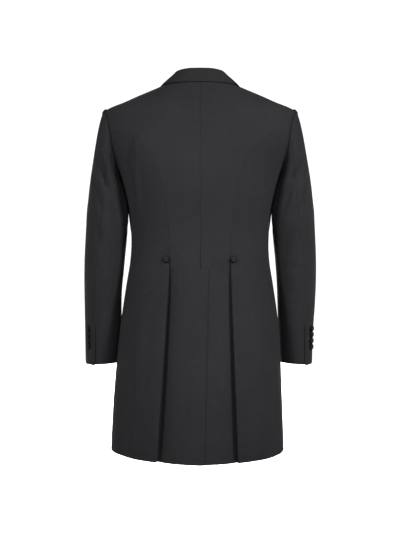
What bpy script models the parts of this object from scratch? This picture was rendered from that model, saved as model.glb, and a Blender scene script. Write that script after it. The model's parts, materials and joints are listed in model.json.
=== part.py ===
"""A knee-length peak-lapel frock coat in charcoal wool, hollow and filled out as worn.

Metres, +Z up. The front faces -Y and the wearer's left is +X. The origin is the middle of the neck hole,
level with the neck points. A drop is a distance below it. An angle goes round the body from the centre back
(0 degrees) by the side (90) to the centre front (180). Each piece is worked out for the left half and
mirrored for the right one.
"""

import math

import bmesh
import bpy
import numpy as np
from mathutils import Vector
from mathutils.bvhtree import BVHTree

COAT = "peak_lapel_frock_coat"
BACK, FRONT = 1, -1
WALL = 0.002
SEAM_GAP = 0.0003
LAYER_GAP = 0.0006
LAYER = WALL + LAYER_GAP
MITRE_LIMIT = 0.75  # how far the wall may thicken in a bend, as a share of its thickness
SHARP_ANGLE = math.radians(50)

# The body's outline at each drop. Squareness 2 is an ellipse.
TORSO_COLUMNS = ("drop", "half_width", "back", "front", "squareness")
TORSO = (
    (0.010, 0.072, 0.062, 0.052, 2.00),
    (0.022, 0.101, 0.068, 0.060, 2.02),
    (0.040, 0.144, 0.079, 0.078, 2.08),
    (0.060, 0.192, 0.091, 0.094, 2.15),
    (0.076, 0.230, 0.099, 0.103, 2.20),
    (0.100, 0.236, 0.108, 0.112, 2.25),
    (0.130, 0.236, 0.116, 0.120, 2.30),
    (0.160, 0.229, 0.122, 0.127, 2.38),
    (0.200, 0.212, 0.127, 0.132, 2.42),
    (0.240, 0.197, 0.128, 0.133, 2.45),
    (0.290, 0.184, 0.123, 0.129, 2.45),
    (0.347, 0.1735, 0.112, 0.122, 2.40),
    (0.409, 0.168, 0.104, 0.116, 2.35),
    (0.446, 0.170, 0.105, 0.117, 2.32),
    (0.505, 0.179, 0.112, 0.123, 2.30),
    (0.593, 0.192, 0.122, 0.131, 2.28),
    (0.701, 0.2005, 0.132, 0.139, 2.25),
    (0.824, 0.2065, 0.140, 0.146, 2.22),
    (0.932, 0.210, 0.146, 0.150, 2.20),
)

# Drape folds that sink into the body's surface, each round the angle given.
FOLD_COLUMNS = ("angle", "top", "bottom", "half_width", "depth")
METRES_PER_DEGREE = 0.0027
FOLDS = (
    (58.0, 0.140, 0.340, 0.016, 0.0050),
    (70.0, 0.520, 1.060, 0.024, 0.0050),
    (104.0, 0.560, 1.060, 0.026, 0.0040),
    (128.0, 0.130, 0.330, 0.020, 0.0035),
    (146.0, 0.600, 1.060, 0.028, 0.0035),
)

# Small steps, in radians round the body and in metres down it, that give the surface's slope.
STEP_ROUND = 0.01
STEP_DOWN = 0.0015

NECK_DROP = 0.010  # at the neck points
SHOULDER_DROP = 0.076

# The armhole, an egg seen from the side, and where seams meet it, in degrees from its top towards the front.
ARMHOLE_BOTTOM = 0.240
ARMHOLE_BACK_REACH = 0.056
ARMHOLE_FRONT_REACH = 0.062
SIDE_SEAM_AT = 145.0
BACK_SEAM_AT = 289.5
ARMHOLE_STEPS = (9, 9, 6)  # in the front, the side body and the back

# The back seam, half across the back, from the armhole to the pleat's top, and then the pleat's fold edge.
BACK_SEAM_COLUMNS = ("drop", "across")
BACK_SEAM = (
    (0.1465, 0.171),
    (0.164, 0.145),
    (0.1815, 0.127),
    (0.201, 0.1135),
    (0.240, 0.098),
    (0.2705, 0.089),
    (0.3208, 0.0805),
    (0.355, 0.0765),
    (0.390, 0.0732),
    (0.440, 0.0725),
    (0.470, 0.0738),
    (0.700, 0.0845),
    (0.930, 0.0955),
)
WAIST_DROP = 0.443
PLEAT_TOP = 0.468
PLEAT_DEPTH = (0.022, 0.040)  # at its top and at the hem
FOLD_RADIUS = (0.0023, 0.0036)
FOLD_TIP = 4  # the fold's tip is this column, and the back seam above it
FLAT_STEP = 0.0012  # between the fold's columns where there is no pleat
ARMHOLE_FADE = 1.5
BACK_RECESS = (0.0054, 0.0125)

# The vent's edge past the centre, at its top and at the hem, and its underlap.
VENT_LAP = (0.0200, 0.0104)
VENT_UNDERLAP = 0.026
VENT_LAYER = 0.0030
VENT_FLAT = 0.30  # the share of the half back, from the centre, that lies under the other half

# The hem's drop round the body.
HEM_COLUMNS = ("angle", "drop")
HEM = ((0.0, 0.9295), (27.0, 0.9270), (54.0, 0.9225), (72.0, 0.9185), (90.0, 0.9130), (120.0, 0.9125),
       (180.0, 0.9160), (215.0, 0.9160))
HEM_DROP = 0.9295
HEM_LEVEL_FROM = 0.480

# The front: the neckline and roll line, half across the front, and the lap past the centre.
FRONT_EDGE_COLUMNS = ("drop", "across")
FRONT_EDGE = (
    (0.010, 0.0720),
    (0.018, 0.0718),
    (0.033, 0.0690),
    (0.055, 0.0625),
    (0.075, 0.0530),
    (0.110, 0.0455),
    (0.180, 0.0315),
    (0.260, 0.0140),
    (0.340, -0.0055),
    (0.400, -0.0190),
    (0.430, -0.0200),
    (0.900, -0.0200),
    (0.930, -0.0190),
)
GORGE_DROP = 0.075
BREAK_DROP = 0.402
UNDER_FRONT = 0.0056  # how far the right front sinks below the left one
UNDER_FROM_ANGLE = (128, 168)  # in degrees, where it starts to sink and where it is down
UNDER_FROM_DROP = (0.24, 0.32)
FRONT_COLUMN_COUNT = 10

# The lapel's outer edge from its peak to the break, half across the front.
LAPEL_COLUMNS = ("drop", "across")
LAPEL = (
    (0.078, 0.1420),
    (0.110, 0.1370),
    (0.160, 0.1215),
    (0.220, 0.0960),
    (0.290, 0.0600),
    (0.350, 0.0240),
    (0.385, 0.0030),
    (0.402, -0.0090),
)
NOTCH = (0.097, 0.0965)  # across and drop
COLLAR_TIP = (0.1100, 0.0735)
LAPEL_LIE = 0.0034  # the lapel's face above the front, at its outer edge
LAPEL_ROLL = 0.0046  # how far the roll stands above that
ROLL_FOOT = -0.0014  # the level at which the wrapped roll ends
ROLL_SIDE = 0.0060  # where it starts, short of the roll line
WIDE_LAPEL = 0.060  # a narrower lapel rolls less
LAPEL_CALM = 0.070  # the height over which the right lapel sinks to lie flat
LAPEL_SHARES = (0.0, 0.17, 0.34, 0.50, 0.67, 0.84, 1.0)
# The roll's bend round the front's edge: steps past the roll line and shares of its height.
LAPEL_WRAP = ((0.0, 1.0), (0.0019, 0.8), (0.00265, 0.35), (0.00265, 0.0))
LEAST_ROW = 0.003

# The collar's stations from the centre back (0) by the neck point (4) to the gorge (8): the seam at its foot,
# its fold line, and the leaf's edge on the cloth. Angles are in degrees.
COLLAR_COLUMNS = ("station", "foot_angle", "foot_drop", "fold_x", "fold_y", "fold_z", "leaf_angle", "leaf_drop")
COLLAR = (
    (0, 0.0, 0.0120, 0.0000, 0.0595, 0.0197, 0.0, 0.0165),
    (1, 27.0, 0.0117, 0.0300, 0.0548, 0.0193, 34.4, 0.0170),
    (2, 50.5, 0.0110, 0.0535, 0.0370, 0.0165, 59.8, 0.0182),
    (3, 69.0, 0.0103, 0.0645, 0.0160, 0.0115, 75.7, 0.0192),
    (4, 90.0, 0.0100, 0.0690, -0.0060, 0.0060, 90.0, 0.0192),
    (5, 118.0, 0.0180, 0.0672, -0.0300, -0.0020, 109.1, 0.0270),
    (6, 130.0, 0.0330, 0.0640, -0.0550, -0.0180, 120.5, 0.0420),
    (7, 144.0, 0.0550, 0.0590, -0.0810, -0.0420, 126.7, 0.0580),
    (8, 152.0, 0.0750, 0.0535, -0.1075, -0.0720, 129.0, 0.0730),
)
STAND_END = 7.3  # the station where the stand runs out into the roll line
CREST_RADIUS = 0.0032  # the leaf's bend over the stand's top
CREST_START = math.radians(105)
LEAF_ROWS = (0.15, 0.35, 0.58, 0.8, 1.0)
LEAF_EASE = (0.008, 0.012, 0.0012)  # how the leaf's curve leaves its fold and meets the cloth
LEAF_RISE = 0.0012  # how much higher the leaf lies towards the gorge
LYING_FROM, LYING_OVER = 4.5, 2.2  # the stations over which it comes to lie on the front
STAND_TOP = (0.0034, 0.0030)  # in from the fold and below it
STAND_ROWS = (1.0, 0.66, 0.33, 0.0)
GORGE_GAP = 0.0010
# The leaf's bend round the front's edge at the gorge: steps past the roll line and heights.
GORGE_WRAP = ((-0.0030, 0.0030), (-0.0024, 0.0054), (0.0010, 0.0074))
GORGE_TURN = 0.7

# The sleeve below the armhole: its inner and outer edge, the middle of its depth, and half its depth.
SLEEVE_COLUMNS = ("drop", "inner", "outer", "middle", "half_depth")
SLEEVE = (
    (0.290, 0.1800, 0.2735, 0.000, 0.0630),
    (0.328, 0.1760, 0.2780, -0.002, 0.0625),
    (0.357, 0.1762, 0.2795, -0.003, 0.0620),
    (0.387, 0.1790, 0.2812, -0.005, 0.0610),
    (0.446, 0.1850, 0.2843, -0.010, 0.0590),
    (0.505, 0.1893, 0.2853, -0.016, 0.0570),
    (0.563, 0.1915, 0.2840, -0.024, 0.0550),
    (0.605, 0.1930, 0.2820, -0.030, 0.0540),
    (0.650, 0.1960, 0.2808, -0.037, 0.0530),
    (0.699, 0.2000, 0.2802, -0.044, 0.0525),
)
SLEEVE_TOP = 0.290
CUFF_DROP = 0.699
SLEEVE_CLEAR = 0.0030  # from the body's side
ARM_STEPS = (0.07, 0.16, 0.27, 0.41, 0.58, 0.79)
SLEEVE_ROWS = (0.290, 0.320, 0.352, 0.385, 0.425, 0.470, 0.515, 0.560, 0.594, 0.600, 0.607, 0.638, 0.670, 0.699)
SLEEVE_TILT = 0.1
# The sleeve head's bulge past the armhole: its middle and how much more at the top, its spread and its reach.
HEAD_BULGE = (0.0105, 0.0055)
HEAD_SPREAD = 0.3
HEAD_REACH = 0.36
HEAD_STEP = 0.0002
# The front and the back seam, in degrees from the sleeve's outer side by its front: at the armhole and the cuff.
SLEEVE_SEAMS = ((125.0, 112.0), (270.0, 302.0))
EARLY_TURN = 0.15  # the share of that turn that is done at the top of the sleeve's table
CUFF_VENT_TOP = 0.598
CUFF_LAP = 0.006

BACK_BUTTON = (0.0175, 0.0060)  # diameter and height
CUFF_BUTTON = (0.0142, 0.0048)
FRONT_BUTTON = (0.0200, 0.0060)
BACK_BUTTON_AT = (0.0795, 0.4437)  # across and drop
CUFF_BUTTON_DROPS = (0.6125, 0.6275, 0.6425, 0.6575)
CUFF_BUTTON_ANGLE = -36.0
FRONT_BUTTON_DROPS = (0.420, 0.535)
BUTTON_STEPS = 14
# The button's dome from its middle out and down to its base, as shares of its radius and height.
BUTTON_PROFILE = ((0.0, 1.0), (0.55, 0.90), (0.86, 0.62), (1.0, 0.30), (0.92, 0.0), (0.0, 0.0))
SEAT_REACH = 0.02  # how far off the cloth the rays that seat a button start
SEAT_RAYS = 12

CHARCOAL = (0.030, 0.030, 0.033, 1)
CHARCOAL_SIDE = (0.026, 0.026, 0.029, 1)
COVERED = (0.020, 0.020, 0.022, 1)


def material(name, colour, roughness):
    made = bpy.data.materials.get(name)
    if made is None:
        made = bpy.data.materials.new(name)
        made.use_nodes = True
        shader = made.node_tree.nodes["Principled BSDF"]
        shader.inputs["Base Color"].default_value = colour
        shader.inputs["Roughness"].default_value = roughness
        shader.inputs["Metallic"].default_value = 0
    return made


def smooth(table, columns, name, at):
    """One column of a table, read at any place on a smooth curve through its rows."""
    rows = np.array(table, float)
    x, y = rows[:, 0], rows[:, columns.index(name)]
    slope = np.gradient(y, x)
    at = np.clip(np.asarray(at, float), x[0], x[-1])
    i = np.clip(np.searchsorted(x, at, side="right") - 1, 0, len(x) - 2)
    span = x[i + 1] - x[i]
    t = (at - x[i]) / span
    start = y[i] * (1 + 2 * t) + slope[i] * span * t
    end = y[i + 1] * (3 - 2 * t) - slope[i + 1] * span * (1 - t)
    return start * (1 - t) ** 2 + end * t**2


def ease(t):
    t = np.clip(t, 0, 1)
    return t * t * (3 - 2 * t)


def ring(angle, drop):
    """The body's outline without folds."""
    half, back, front, square = (smooth(TORSO, TORSO_COLUMNS, name, drop) for name in TORSO_COLUMNS[1:])
    sine, cosine = np.sin(angle), np.cos(angle)
    depth = np.where(cosine > 0, back, front)
    reach = (np.abs(sine / half) ** square + np.abs(cosine / depth) ** square) ** (-1 / square)
    return np.stack([reach * sine, reach * cosine, -drop], axis=-1)


def fold(angle, drop):
    """How far the drape folds sink the surface."""
    sunk = np.zeros(np.broadcast(angle, drop).shape)
    for row in FOLDS:
        centre, top, bottom, half_width, depth = row
        across = (np.degrees(angle) - centre) * METRES_PER_DEGREE / half_width
        down = np.clip((drop - top) / (bottom - top), 0, 1)
        sunk = sunk + depth * np.exp(-(across**2)) * np.sin(np.pi * down) ** 0.8
    return sunk


def cloth(angle, drop):
    """The body's outline with its folds sunk towards the middle."""
    point = ring(angle, drop)
    inward = point * np.array([1, 1, 0])
    inward = inward / np.maximum(np.linalg.norm(inward, axis=-1, keepdims=True), 1e-6)
    return point - inward * fold(angle, drop)[..., None]


def surface(angle, drop, out):
    """A point off the body's surface, square to it."""
    angle, drop, out = np.broadcast_arrays(np.asarray(angle, float), np.asarray(drop, float), out)
    round_it = cloth(angle + STEP_ROUND, drop) - cloth(angle - STEP_ROUND, drop)
    down = cloth(angle, drop + STEP_DOWN) - cloth(angle, drop - STEP_DOWN)
    normal = np.cross(round_it, down)
    normal /= np.linalg.norm(normal, axis=-1, keepdims=True)
    return cloth(angle, drop) + normal * out[..., None]


def speed(angle, drop):
    """Metres round the body for each radian."""
    ahead, behind = cloth(angle + STEP_ROUND, drop), cloth(angle - STEP_ROUND, drop)
    return np.linalg.norm(ahead - behind, axis=-1) / (2 * STEP_ROUND)


def angle_at(across, drop, side):
    """The angle of the point that lies so far across, on the back or on the front."""
    half, square = (smooth(TORSO, TORSO_COLUMNS, name, drop) for name in ("half_width", "squareness"))
    depth = smooth(TORSO, TORSO_COLUMNS, "back" if side == BACK else "front", drop)
    share = np.clip(np.abs(across) / half, 0, 1)
    return np.arctan2(across, side * depth * (1 - share**square) ** (1 / square))


def front_angle(across, drop):
    """The same on the front, past 180 degrees where it lies beyond the centre."""
    return np.mod(angle_at(across, drop, FRONT), 2 * np.pi)


def armhole(turn):
    """The angle and drop of the armhole's edge, at a turn in degrees from its top by its front."""
    turn = np.radians(turn)
    drop = SHOULDER_DROP + (ARMHOLE_BOTTOM - SHOULDER_DROP) * (1 - np.cos(turn)) / 2
    reach = np.where(np.sin(turn) > 0, ARMHOLE_FRONT_REACH, ARMHOLE_BACK_REACH)
    y = -reach * np.sin(turn)
    half, back, front, square = (smooth(TORSO, TORSO_COLUMNS, name, drop) for name in TORSO_COLUMNS[1:])
    depth = np.where(y > 0, back, front)
    x = half * (1 - np.abs(y / depth) ** square) ** (1 / square)
    return np.arctan2(x, y), drop


SIDE_SEAM_ANGLE = float(armhole(SIDE_SEAM_AT)[0])


def level(nominal, angle):
    """The drop at this angle of a row that is named by its drop at the centre back."""
    hem = smooth(HEM, HEM_COLUMNS, "drop", np.degrees(np.abs(angle)))
    below = np.maximum(nominal - HEM_LEVEL_FROM, 0)
    return nominal + below * (hem - HEM_DROP) / (HEM_DROP - HEM_LEVEL_FROM)


def part_way(ends, drop, top):
    """A value between its two ends, from a drop to the hem."""
    return ends[0] + (ends[1] - ends[0]) * np.clip((drop - top) / (HEM_DROP - top), 0, 1)


def inner_grid(angle, drop, out):
    """The wall's inner points: a folded row is moved square to its own path, and a plain one straight in."""
    plain = np.ptp(out, axis=1, keepdims=True) < 1e-9
    pace = speed(angle, drop)
    arc = np.cumsum(np.diff(angle, axis=1, prepend=angle[:, :1]) * pace, axis=1)
    run, rise = np.diff(arc, axis=1), np.diff(out, axis=1)
    length = np.maximum(np.hypot(run, rise), 1e-7)
    run, rise = run / length, rise / length
    before, after = (np.concatenate([v[:, :1], v], axis=1) for v in (run, rise))
    ahead, above = (np.concatenate([v, v[:, -1:]], axis=1) for v in (run, rise))
    along, up = before + ahead, after + above
    size = np.maximum(np.hypot(along, up), 1e-6)
    along, up = along / size, up / size
    reach = WALL / np.maximum(size / 2, MITRE_LIMIT)
    up, along = np.where(plain, 0, up), np.where(plain, 1, along)
    reach = np.where(plain, WALL, reach)
    return surface(angle + up * reach / pace, drop, out - along * reach)


def outline_shift(outer, cells, amount):
    """How far each point moves so that a panel's outline draws in by the amount."""
    shift = np.zeros_like(outer)
    rows, columns = cells.shape
    sides = ((0, 0, 0, 1, -1, 0), (0, 1, 1, 1, 0, 1), (1, 1, 1, 0, 1, 0), (1, 0, 0, 0, 0, -1))
    for i in range(rows):
        for j in range(columns):
            if not cells[i, j]:
                continue
            middle = outer[i : i + 2, j : j + 2].mean(axis=(0, 1))
            for a_row, a_column, b_row, b_column, row_step, column_step in sides:
                near_i, near_j = i + row_step, j + column_step
                inside = 0 <= near_i < rows and 0 <= near_j < columns and cells[near_i, near_j]
                if inside:
                    continue
                a, b = (i + a_row, j + a_column), (i + b_row, j + b_column)
                edge = outer[b] - outer[a]
                edge /= np.linalg.norm(edge)
                inward = middle - outer[a]
                inward -= edge * inward.dot(edge)
                inward /= np.linalg.norm(inward)
                for corner in (a, b):
                    shift[corner] += inward
    size = np.linalg.norm(shift, axis=-1, keepdims=True)
    return shift / np.maximum(size, 1e-9) * amount


def wall(name, outer, inner, cells, side, colour, gap=SEAM_GAP):
    """A closed cloth wall between two grids of points, mirrored for the right half."""
    shift = outline_shift(outer, cells, gap / 2)
    outer, inner = outer + shift, inner + shift
    if side < 0:
        flip = np.array([-1, 1, 1])
        outer, inner, cells = outer[:, ::-1] * flip, inner[:, ::-1] * flip, cells[:, ::-1]
    rows, columns = cells.shape
    mesh = bmesh.new()
    corner = {}

    def vertex(layer, i, j):
        key = (layer, i, j)
        if key not in corner:
            corner[key] = mesh.verts.new((outer, inner)[layer][i, j])
        return corner[key]

    around = ((0, 0), (0, 1), (1, 1), (1, 0))
    edges = set()
    for i in range(rows):
        for j in range(columns):
            if cells[i, j]:
                quad = [(i + a, j + b) for a, b in around]
                mesh.faces.new([vertex(0, *c) for c in quad])
                mesh.faces.new([vertex(1, *c) for c in reversed(quad)])
                edges.update((quad[k], quad[(k + 1) % 4]) for k in range(4))
    for a, b in sorted(edges):
        if (b, a) not in edges:
            mesh.faces.new([vertex(0, *b), vertex(0, *a), vertex(1, *a), vertex(1, *b)])
    bmesh.ops.triangulate(mesh, faces=mesh.faces[:], quad_method="SHORT_EDGE")
    return add(name, mesh, colour)


def add(name, mesh, colour):
    data = bpy.data.meshes.new(name)
    mesh.to_mesh(data)
    mesh.free()
    data.shade_smooth()
    data.set_sharp_from_angle(angle=SHARP_ANGLE)
    data.materials.append(colour)
    made = bpy.data.objects.new(name, data)
    bpy.data.collections[COAT].objects.link(made)
    return made


def side_name(side):
    return "left" if side > 0 else "right"


def spaced(start, end, count):
    return list(np.linspace(start, end, count))


BACK_SHARES = np.linspace(0, 1, 8)
NECK_FADE = 0.05  # how far down the rows follow the neckline's dip

# Rows that panels share at their seams, by drop or by the armhole's own points.
SHOULDER_ROWS = [0.0, 0.004, 0.010, 0.020, 0.034, 0.050]
SEAM_ROWS = [0.137, 0.1465, 0.155, 0.164, 0.1815, 0.201, 0.225, 0.2705, 0.3208, 0.365, 0.405, WAIST_DROP]
SKIRT_ROWS = [PLEAT_TOP, 0.500, 0.545, 0.610, 0.690, 0.770, 0.850, HEM_DROP]
ARMHOLE_FRONT = spaced(0, SIDE_SEAM_AT, ARMHOLE_STEPS[0] + 1)
ARMHOLE_SIDE = spaced(SIDE_SEAM_AT, BACK_SEAM_AT, ARMHOLE_STEPS[1] + 1)
ARMHOLE_BACK = spaced(BACK_SEAM_AT, 360, ARMHOLE_STEPS[2] + 1)


def back_seam_angle(nominal):
    """The back seam, which starts at its point on the armhole."""
    start, drop = armhole(BACK_SEAM_AT)
    first = BACK_SEAM[0]
    across = smooth(BACK_SEAM, BACK_SEAM_COLUMNS, "across", nominal)
    at_arm = cloth(start, drop)[0]
    before = at_arm + (first[1] - at_arm) * (nominal - drop) / (first[0] - drop)
    return angle_at(before if nominal < first[0] else across, nominal, BACK)


def side_seam_drop(nominal):
    """The side seam's drop for a row that the back seam meets at the nominal drop."""
    top = armhole(SIDE_SEAM_AT)[1]
    start = armhole(BACK_SEAM_AT)[1]
    share = np.clip((nominal - start) / (WAIST_DROP - start), 0, 1)
    return level(nominal, SIDE_SEAM_ANGLE) + (top - start) * (1 - share)


def recess(nominal):
    """How far the centre back sinks beside the pleat's fold."""
    if nominal < PLEAT_TOP:
        return 0.0
    return part_way(BACK_RECESS, nominal, PLEAT_TOP)


def back_panel(side):
    """The centre back, with the vent's extension and the pleat's underlay as extra columns."""
    shares = list(BACK_SHARES)
    neck = [NECK_DROP + s for s in SHOULDER_ROWS]
    arm = [(float(a), float(d)) for a, d in zip(*armhole(np.array(ARMHOLE_BACK[::-1])))]
    rows = [(d, math.pi / 2) for d in neck] + [(d, a) for a, d in arm]
    rows += [(d, back_seam_angle(d)) for d in SEAM_ROWS + SKIRT_ROWS]
    angle, drop, out, cells = [], [], [], []
    for nominal, edge in rows:
        vent = nominal >= PLEAT_TOP
        middle = [edge * s for s in shares]
        stations = np.interp(BACK_SHARES * 90, [row[1] for row in COLLAR[:5]], [row[0] for row in COLLAR[:5]])
        at_neck = np.interp(stations, [row[0] for row in COLLAR], [row[2] for row in COLLAR]) - NECK_DROP
        fade = max(0.0, 1 - (nominal - NECK_DROP) / NECK_FADE)
        line = [nominal + float(extra) * fade for extra in at_neck]
        sunk = [-recess(nominal) * s**2 for s in shares]
        lap = part_way(VENT_LAP, nominal, PLEAT_TOP) if side > 0 else VENT_UNDERLAP
        pace = float(speed(np.array(0.0), np.array(nominal)))
        before = [-lap / pace, -lap / pace / 2]
        sunk_before = [-recess(nominal) * (a / edge) ** 2 for a in before]
        if side < 0 and vent:
            sunk = [o - VENT_LAYER * (1 - ease((s - VENT_FLAT) / (1 - VENT_FLAT))) for o, s in zip(sunk, shares)]
            sunk_before = [o - VENT_LAYER for o in sunk_before]
        edge_pace = float(speed(np.array(edge), np.array(nominal)))
        depth = part_way(PLEAT_DEPTH, nominal, PLEAT_TOP)
        after = [edge + depth / 2 / edge_pace, edge + depth / edge_pace]
        angle.append(before + middle + after)
        drop.append([nominal] * 2 + line + [nominal] * 2)
        out.append(sunk_before + sunk + [sunk[-1]] * 2)
        cells.append([vent] * 2 + [True] * (len(shares) - 1) + [vent] * 2)
    cells = np.array([[a and b for a, b in zip(r, s)] for r, s in zip(cells, cells[1:])])
    angle, drop, out = np.array(angle), np.array(drop), np.array(out)
    drop = level(drop, angle)
    name = f"back_{side_name(side)}"
    wool = material("wool", CHARCOAL, 0.85)
    wall(name, surface(angle, drop, out), inner_grid(angle, drop, out), cells, side, wool)


def pleat_path(nominal):
    """The pleat's fold as steps round the body and steps outwards, from the underlay's edge to the outer layer."""
    radius = part_way(FOLD_RADIUS, nominal, PLEAT_TOP)
    depth = part_way(PLEAT_DEPTH, nominal, PLEAT_TOP)
    turns = np.radians([225, 180, 135])
    path = [(depth, -2 * radius), (depth / 2, -2 * radius), (radius, -2 * radius)]
    path += [(radius + radius * math.cos(t), -radius + radius * math.sin(t)) for t in turns]
    return path + [(radius, 0.0)]


def side_body(side):
    """The side body and side skirt, with the pleat's fold and underlay as extra columns."""
    start_angle, start_drop = (float(v) for v in armhole(BACK_SEAM_AT))
    top_angle, top_drop = armhole(np.array(ARMHOLE_SIDE[::-1]))
    shares = np.linspace(0, 1, len(top_angle))
    angle, drop, out, cells = [], [], [], []
    for nominal in [start_drop] + SEAM_ROWS + SKIRT_ROWS:
        pleat = nominal >= PLEAT_TOP
        left = start_angle if nominal == start_drop else float(back_seam_angle(nominal))
        right_drop = float(side_seam_drop(nominal))
        # The armhole's curve fades out down the panel.
        fade = max(0.0, 1 - (nominal - start_drop) / (WAIST_DROP - start_drop)) ** ARMHOLE_FADE
        straight_angle = left + (SIDE_SEAM_ANGLE - left) * shares
        base_drop = nominal + (right_drop - nominal) * shares
        chord_angle = top_angle[0] + (top_angle[-1] - top_angle[0]) * shares
        chord_drop = top_drop[0] + (top_drop[-1] - top_drop[0]) * shares
        line_angle = straight_angle + fade * (top_angle - chord_angle)
        line_drop = base_drop + fade * (top_drop - chord_drop)
        if nominal > HEM_LEVEL_FROM:
            line_drop = level(nominal, line_angle)
        pace = float(speed(np.array(left), np.array(nominal)))
        path = pleat_path(nominal)
        if not pleat:
            path = [(FLAT_STEP * (k - FOLD_TIP), 0.0) for k in range(len(path))]
        # The fold's columns lie along the row's own line.
        near = np.array([s for s, o in path]) / (pace * (line_angle[-1] - left))
        along = np.concatenate([near, shares[1:]])
        full = np.interp(along, shares, line_angle)
        full = np.where(along < 0, left + along * (line_angle[-1] - left), full)
        angle.append(full)
        drop.append(np.interp(along, shares, line_drop))
        out.append([o for s, o in path] + [0.0] * (len(shares) - 1))
        # The columns before the fold's tip are the pleat's own.
        cells.append([pleat] * FOLD_TIP + [True] * (len(full) - 1 - FOLD_TIP))
    angle, drop, out = np.array(angle), np.array(drop), np.array(out)
    cells = np.array([[a and b for a, b in zip(r, s)] for r, s in zip(cells, cells[1:])])
    name = f"side_body_{side_name(side)}"
    wool = material("wool_side", CHARCOAL_SIDE, 0.85)
    wall(name, surface(angle, drop, out), inner_grid(angle, drop, out), cells, side, wool)


def front_under(angle, drop, side):
    """How far the right front sinks where the left one laps over it."""
    if side > 0:
        return np.zeros(np.broadcast(angle, drop).shape)
    beside = ease((np.degrees(angle) - UNDER_FROM_ANGLE[0]) / (UNDER_FROM_ANGLE[1] - UNDER_FROM_ANGLE[0]))
    below = ease((drop - UNDER_FROM_DROP[0]) / (UNDER_FROM_DROP[1] - UNDER_FROM_DROP[0]))
    return -UNDER_FRONT * beside * below


def front_rows():
    """The angle and drop of each row's outer end, on the shoulder, the armhole and the side seam."""
    # The first row is short of the neck point, where the front has no width.
    rows = [(math.pi / 2, NECK_DROP + max(s, LAYER_GAP)) for s in SHOULDER_ROWS]
    rows += [(float(a), float(d)) for a, d in zip(*armhole(np.array(ARMHOLE_FRONT)))]
    return rows + [(SIDE_SEAM_ANGLE, float(side_seam_drop(nominal))) for nominal in SEAM_ROWS + SKIRT_ROWS]


def front_panel(side):
    """The front, from the side seam, armhole and shoulder to the roll line and the front edge."""
    shares = np.linspace(0, 1, FRONT_COLUMN_COUNT)
    angle, drop = [], []
    for outer_angle, nominal in front_rows():
        if nominal > HEM_LEVEL_FROM:
            scale = (HEM_DROP - HEM_LEVEL_FROM) / (level(HEM_DROP, SIDE_SEAM_ANGLE) - HEM_LEVEL_FROM)
            nominal = HEM_LEVEL_FROM + (nominal - HEM_LEVEL_FROM) * scale
        across = smooth(FRONT_EDGE, FRONT_EDGE_COLUMNS, "across", nominal)
        edge = float(front_angle(across, nominal))
        line = outer_angle + (edge - outer_angle) * shares
        angle.append(line)
        drop.append(level(nominal, line))
    angle, drop = np.array(angle), np.array(drop)
    out = front_under(angle, drop, side)
    cells = np.ones((len(angle) - 1, len(shares) - 1), bool)
    name = f"front_{side_name(side)}"
    wool = material("wool", CHARCOAL, 0.85)
    wall(name, surface(angle, drop, out), inner_grid(angle, drop, out), cells, side, wool)


def roll_profile(share):
    """How high the roll stands at a share of the way to the roll line."""
    return share**2 * (1 - 0.4 * share)


def lapel(side):
    """The turned-back facing, moved out from the front, with its roll wrapped round the front's edge."""
    top_roll, low = GORGE_DROP + LAYER_GAP, BREAK_DROP
    edge_drops = [d for a, d in front_rows() if top_roll + LEAST_ROW < d < low - LEAST_ROW]
    columns = np.array(LAPEL_SHARES)
    angle, drop, out = [], [], []
    for roll_drop in [top_roll] + edge_drops + [low]:
        v = (roll_drop - top_roll) / (low - top_roll)
        outer_drop = LAPEL[0][0] + (LAPEL[-1][0] - LAPEL[0][0]) * v
        roll_x = float(smooth(FRONT_EDGE, FRONT_EDGE_COLUMNS, "across", roll_drop))
        outer_x = float(smooth(LAPEL, LAPEL_COLUMNS, "across", outer_drop))
        width = outer_x - roll_x
        shares = columns * (width - ROLL_SIDE) / width
        xs = outer_x - width * shares
        ds = outer_drop + (roll_drop - outer_drop) * shares
        # The gorge and the notch bend the top row.
        bend = (1 - v) ** 3
        notch_share = shares[len(shares) // 2]
        on_line = (LAPEL[0][1] + FRONT_EDGE[4][1]) / 2, (LAPEL[0][0] + top_roll) / 2
        peak = np.where(shares < notch_share, shares / notch_share, (1 - shares) / (1 - notch_share))
        xs = xs + bend * peak * (NOTCH[0] - on_line[0])
        ds = ds + bend * peak * (NOTCH[1] + LAYER_GAP - on_line[1])
        row_angle = front_angle(xs, ds)
        roll_angle = float(front_angle(roll_x, roll_drop))
        pace = float(speed(np.array(roll_angle), np.array(roll_drop)))
        # The right lapel lies flat where the left front laps over it.
        free = 1.0 if side > 0 else 1 - float(ease((roll_drop - UNDER_FROM_DROP[0]) / LAPEL_CALM))
        lie = LAYER + (LAPEL_LIE - LAYER) * free
        roll = LAPEL_ROLL * free * float(ease(width / WIDE_LAPEL))
        height = lie + roll * roll_profile(shares)
        wrapped = [roll_angle + step / pace for step, share in LAPEL_WRAP]
        lift = [ROLL_FOOT + (float(height[-1]) - ROLL_FOOT) * share for step, share in LAPEL_WRAP]
        full = np.concatenate([row_angle, wrapped])
        full_drop = np.concatenate([ds, [roll_drop] * len(LAPEL_WRAP)])
        angle.append(full)
        drop.append(full_drop)
        out.append(np.concatenate([height, lift]) + front_under(full, full_drop, side))
    angle, drop, out = np.array(angle), np.array(drop), np.array(out)
    cells = np.ones((len(angle) - 1, angle.shape[1] - 1), bool)
    name = f"lapel_{side_name(side)}"
    wool = material("wool_lapel", CHARCOAL_SIDE, 0.8)
    wall(name, surface(angle, drop, out), inner_grid(angle, drop, out), cells, side, wool)


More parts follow.
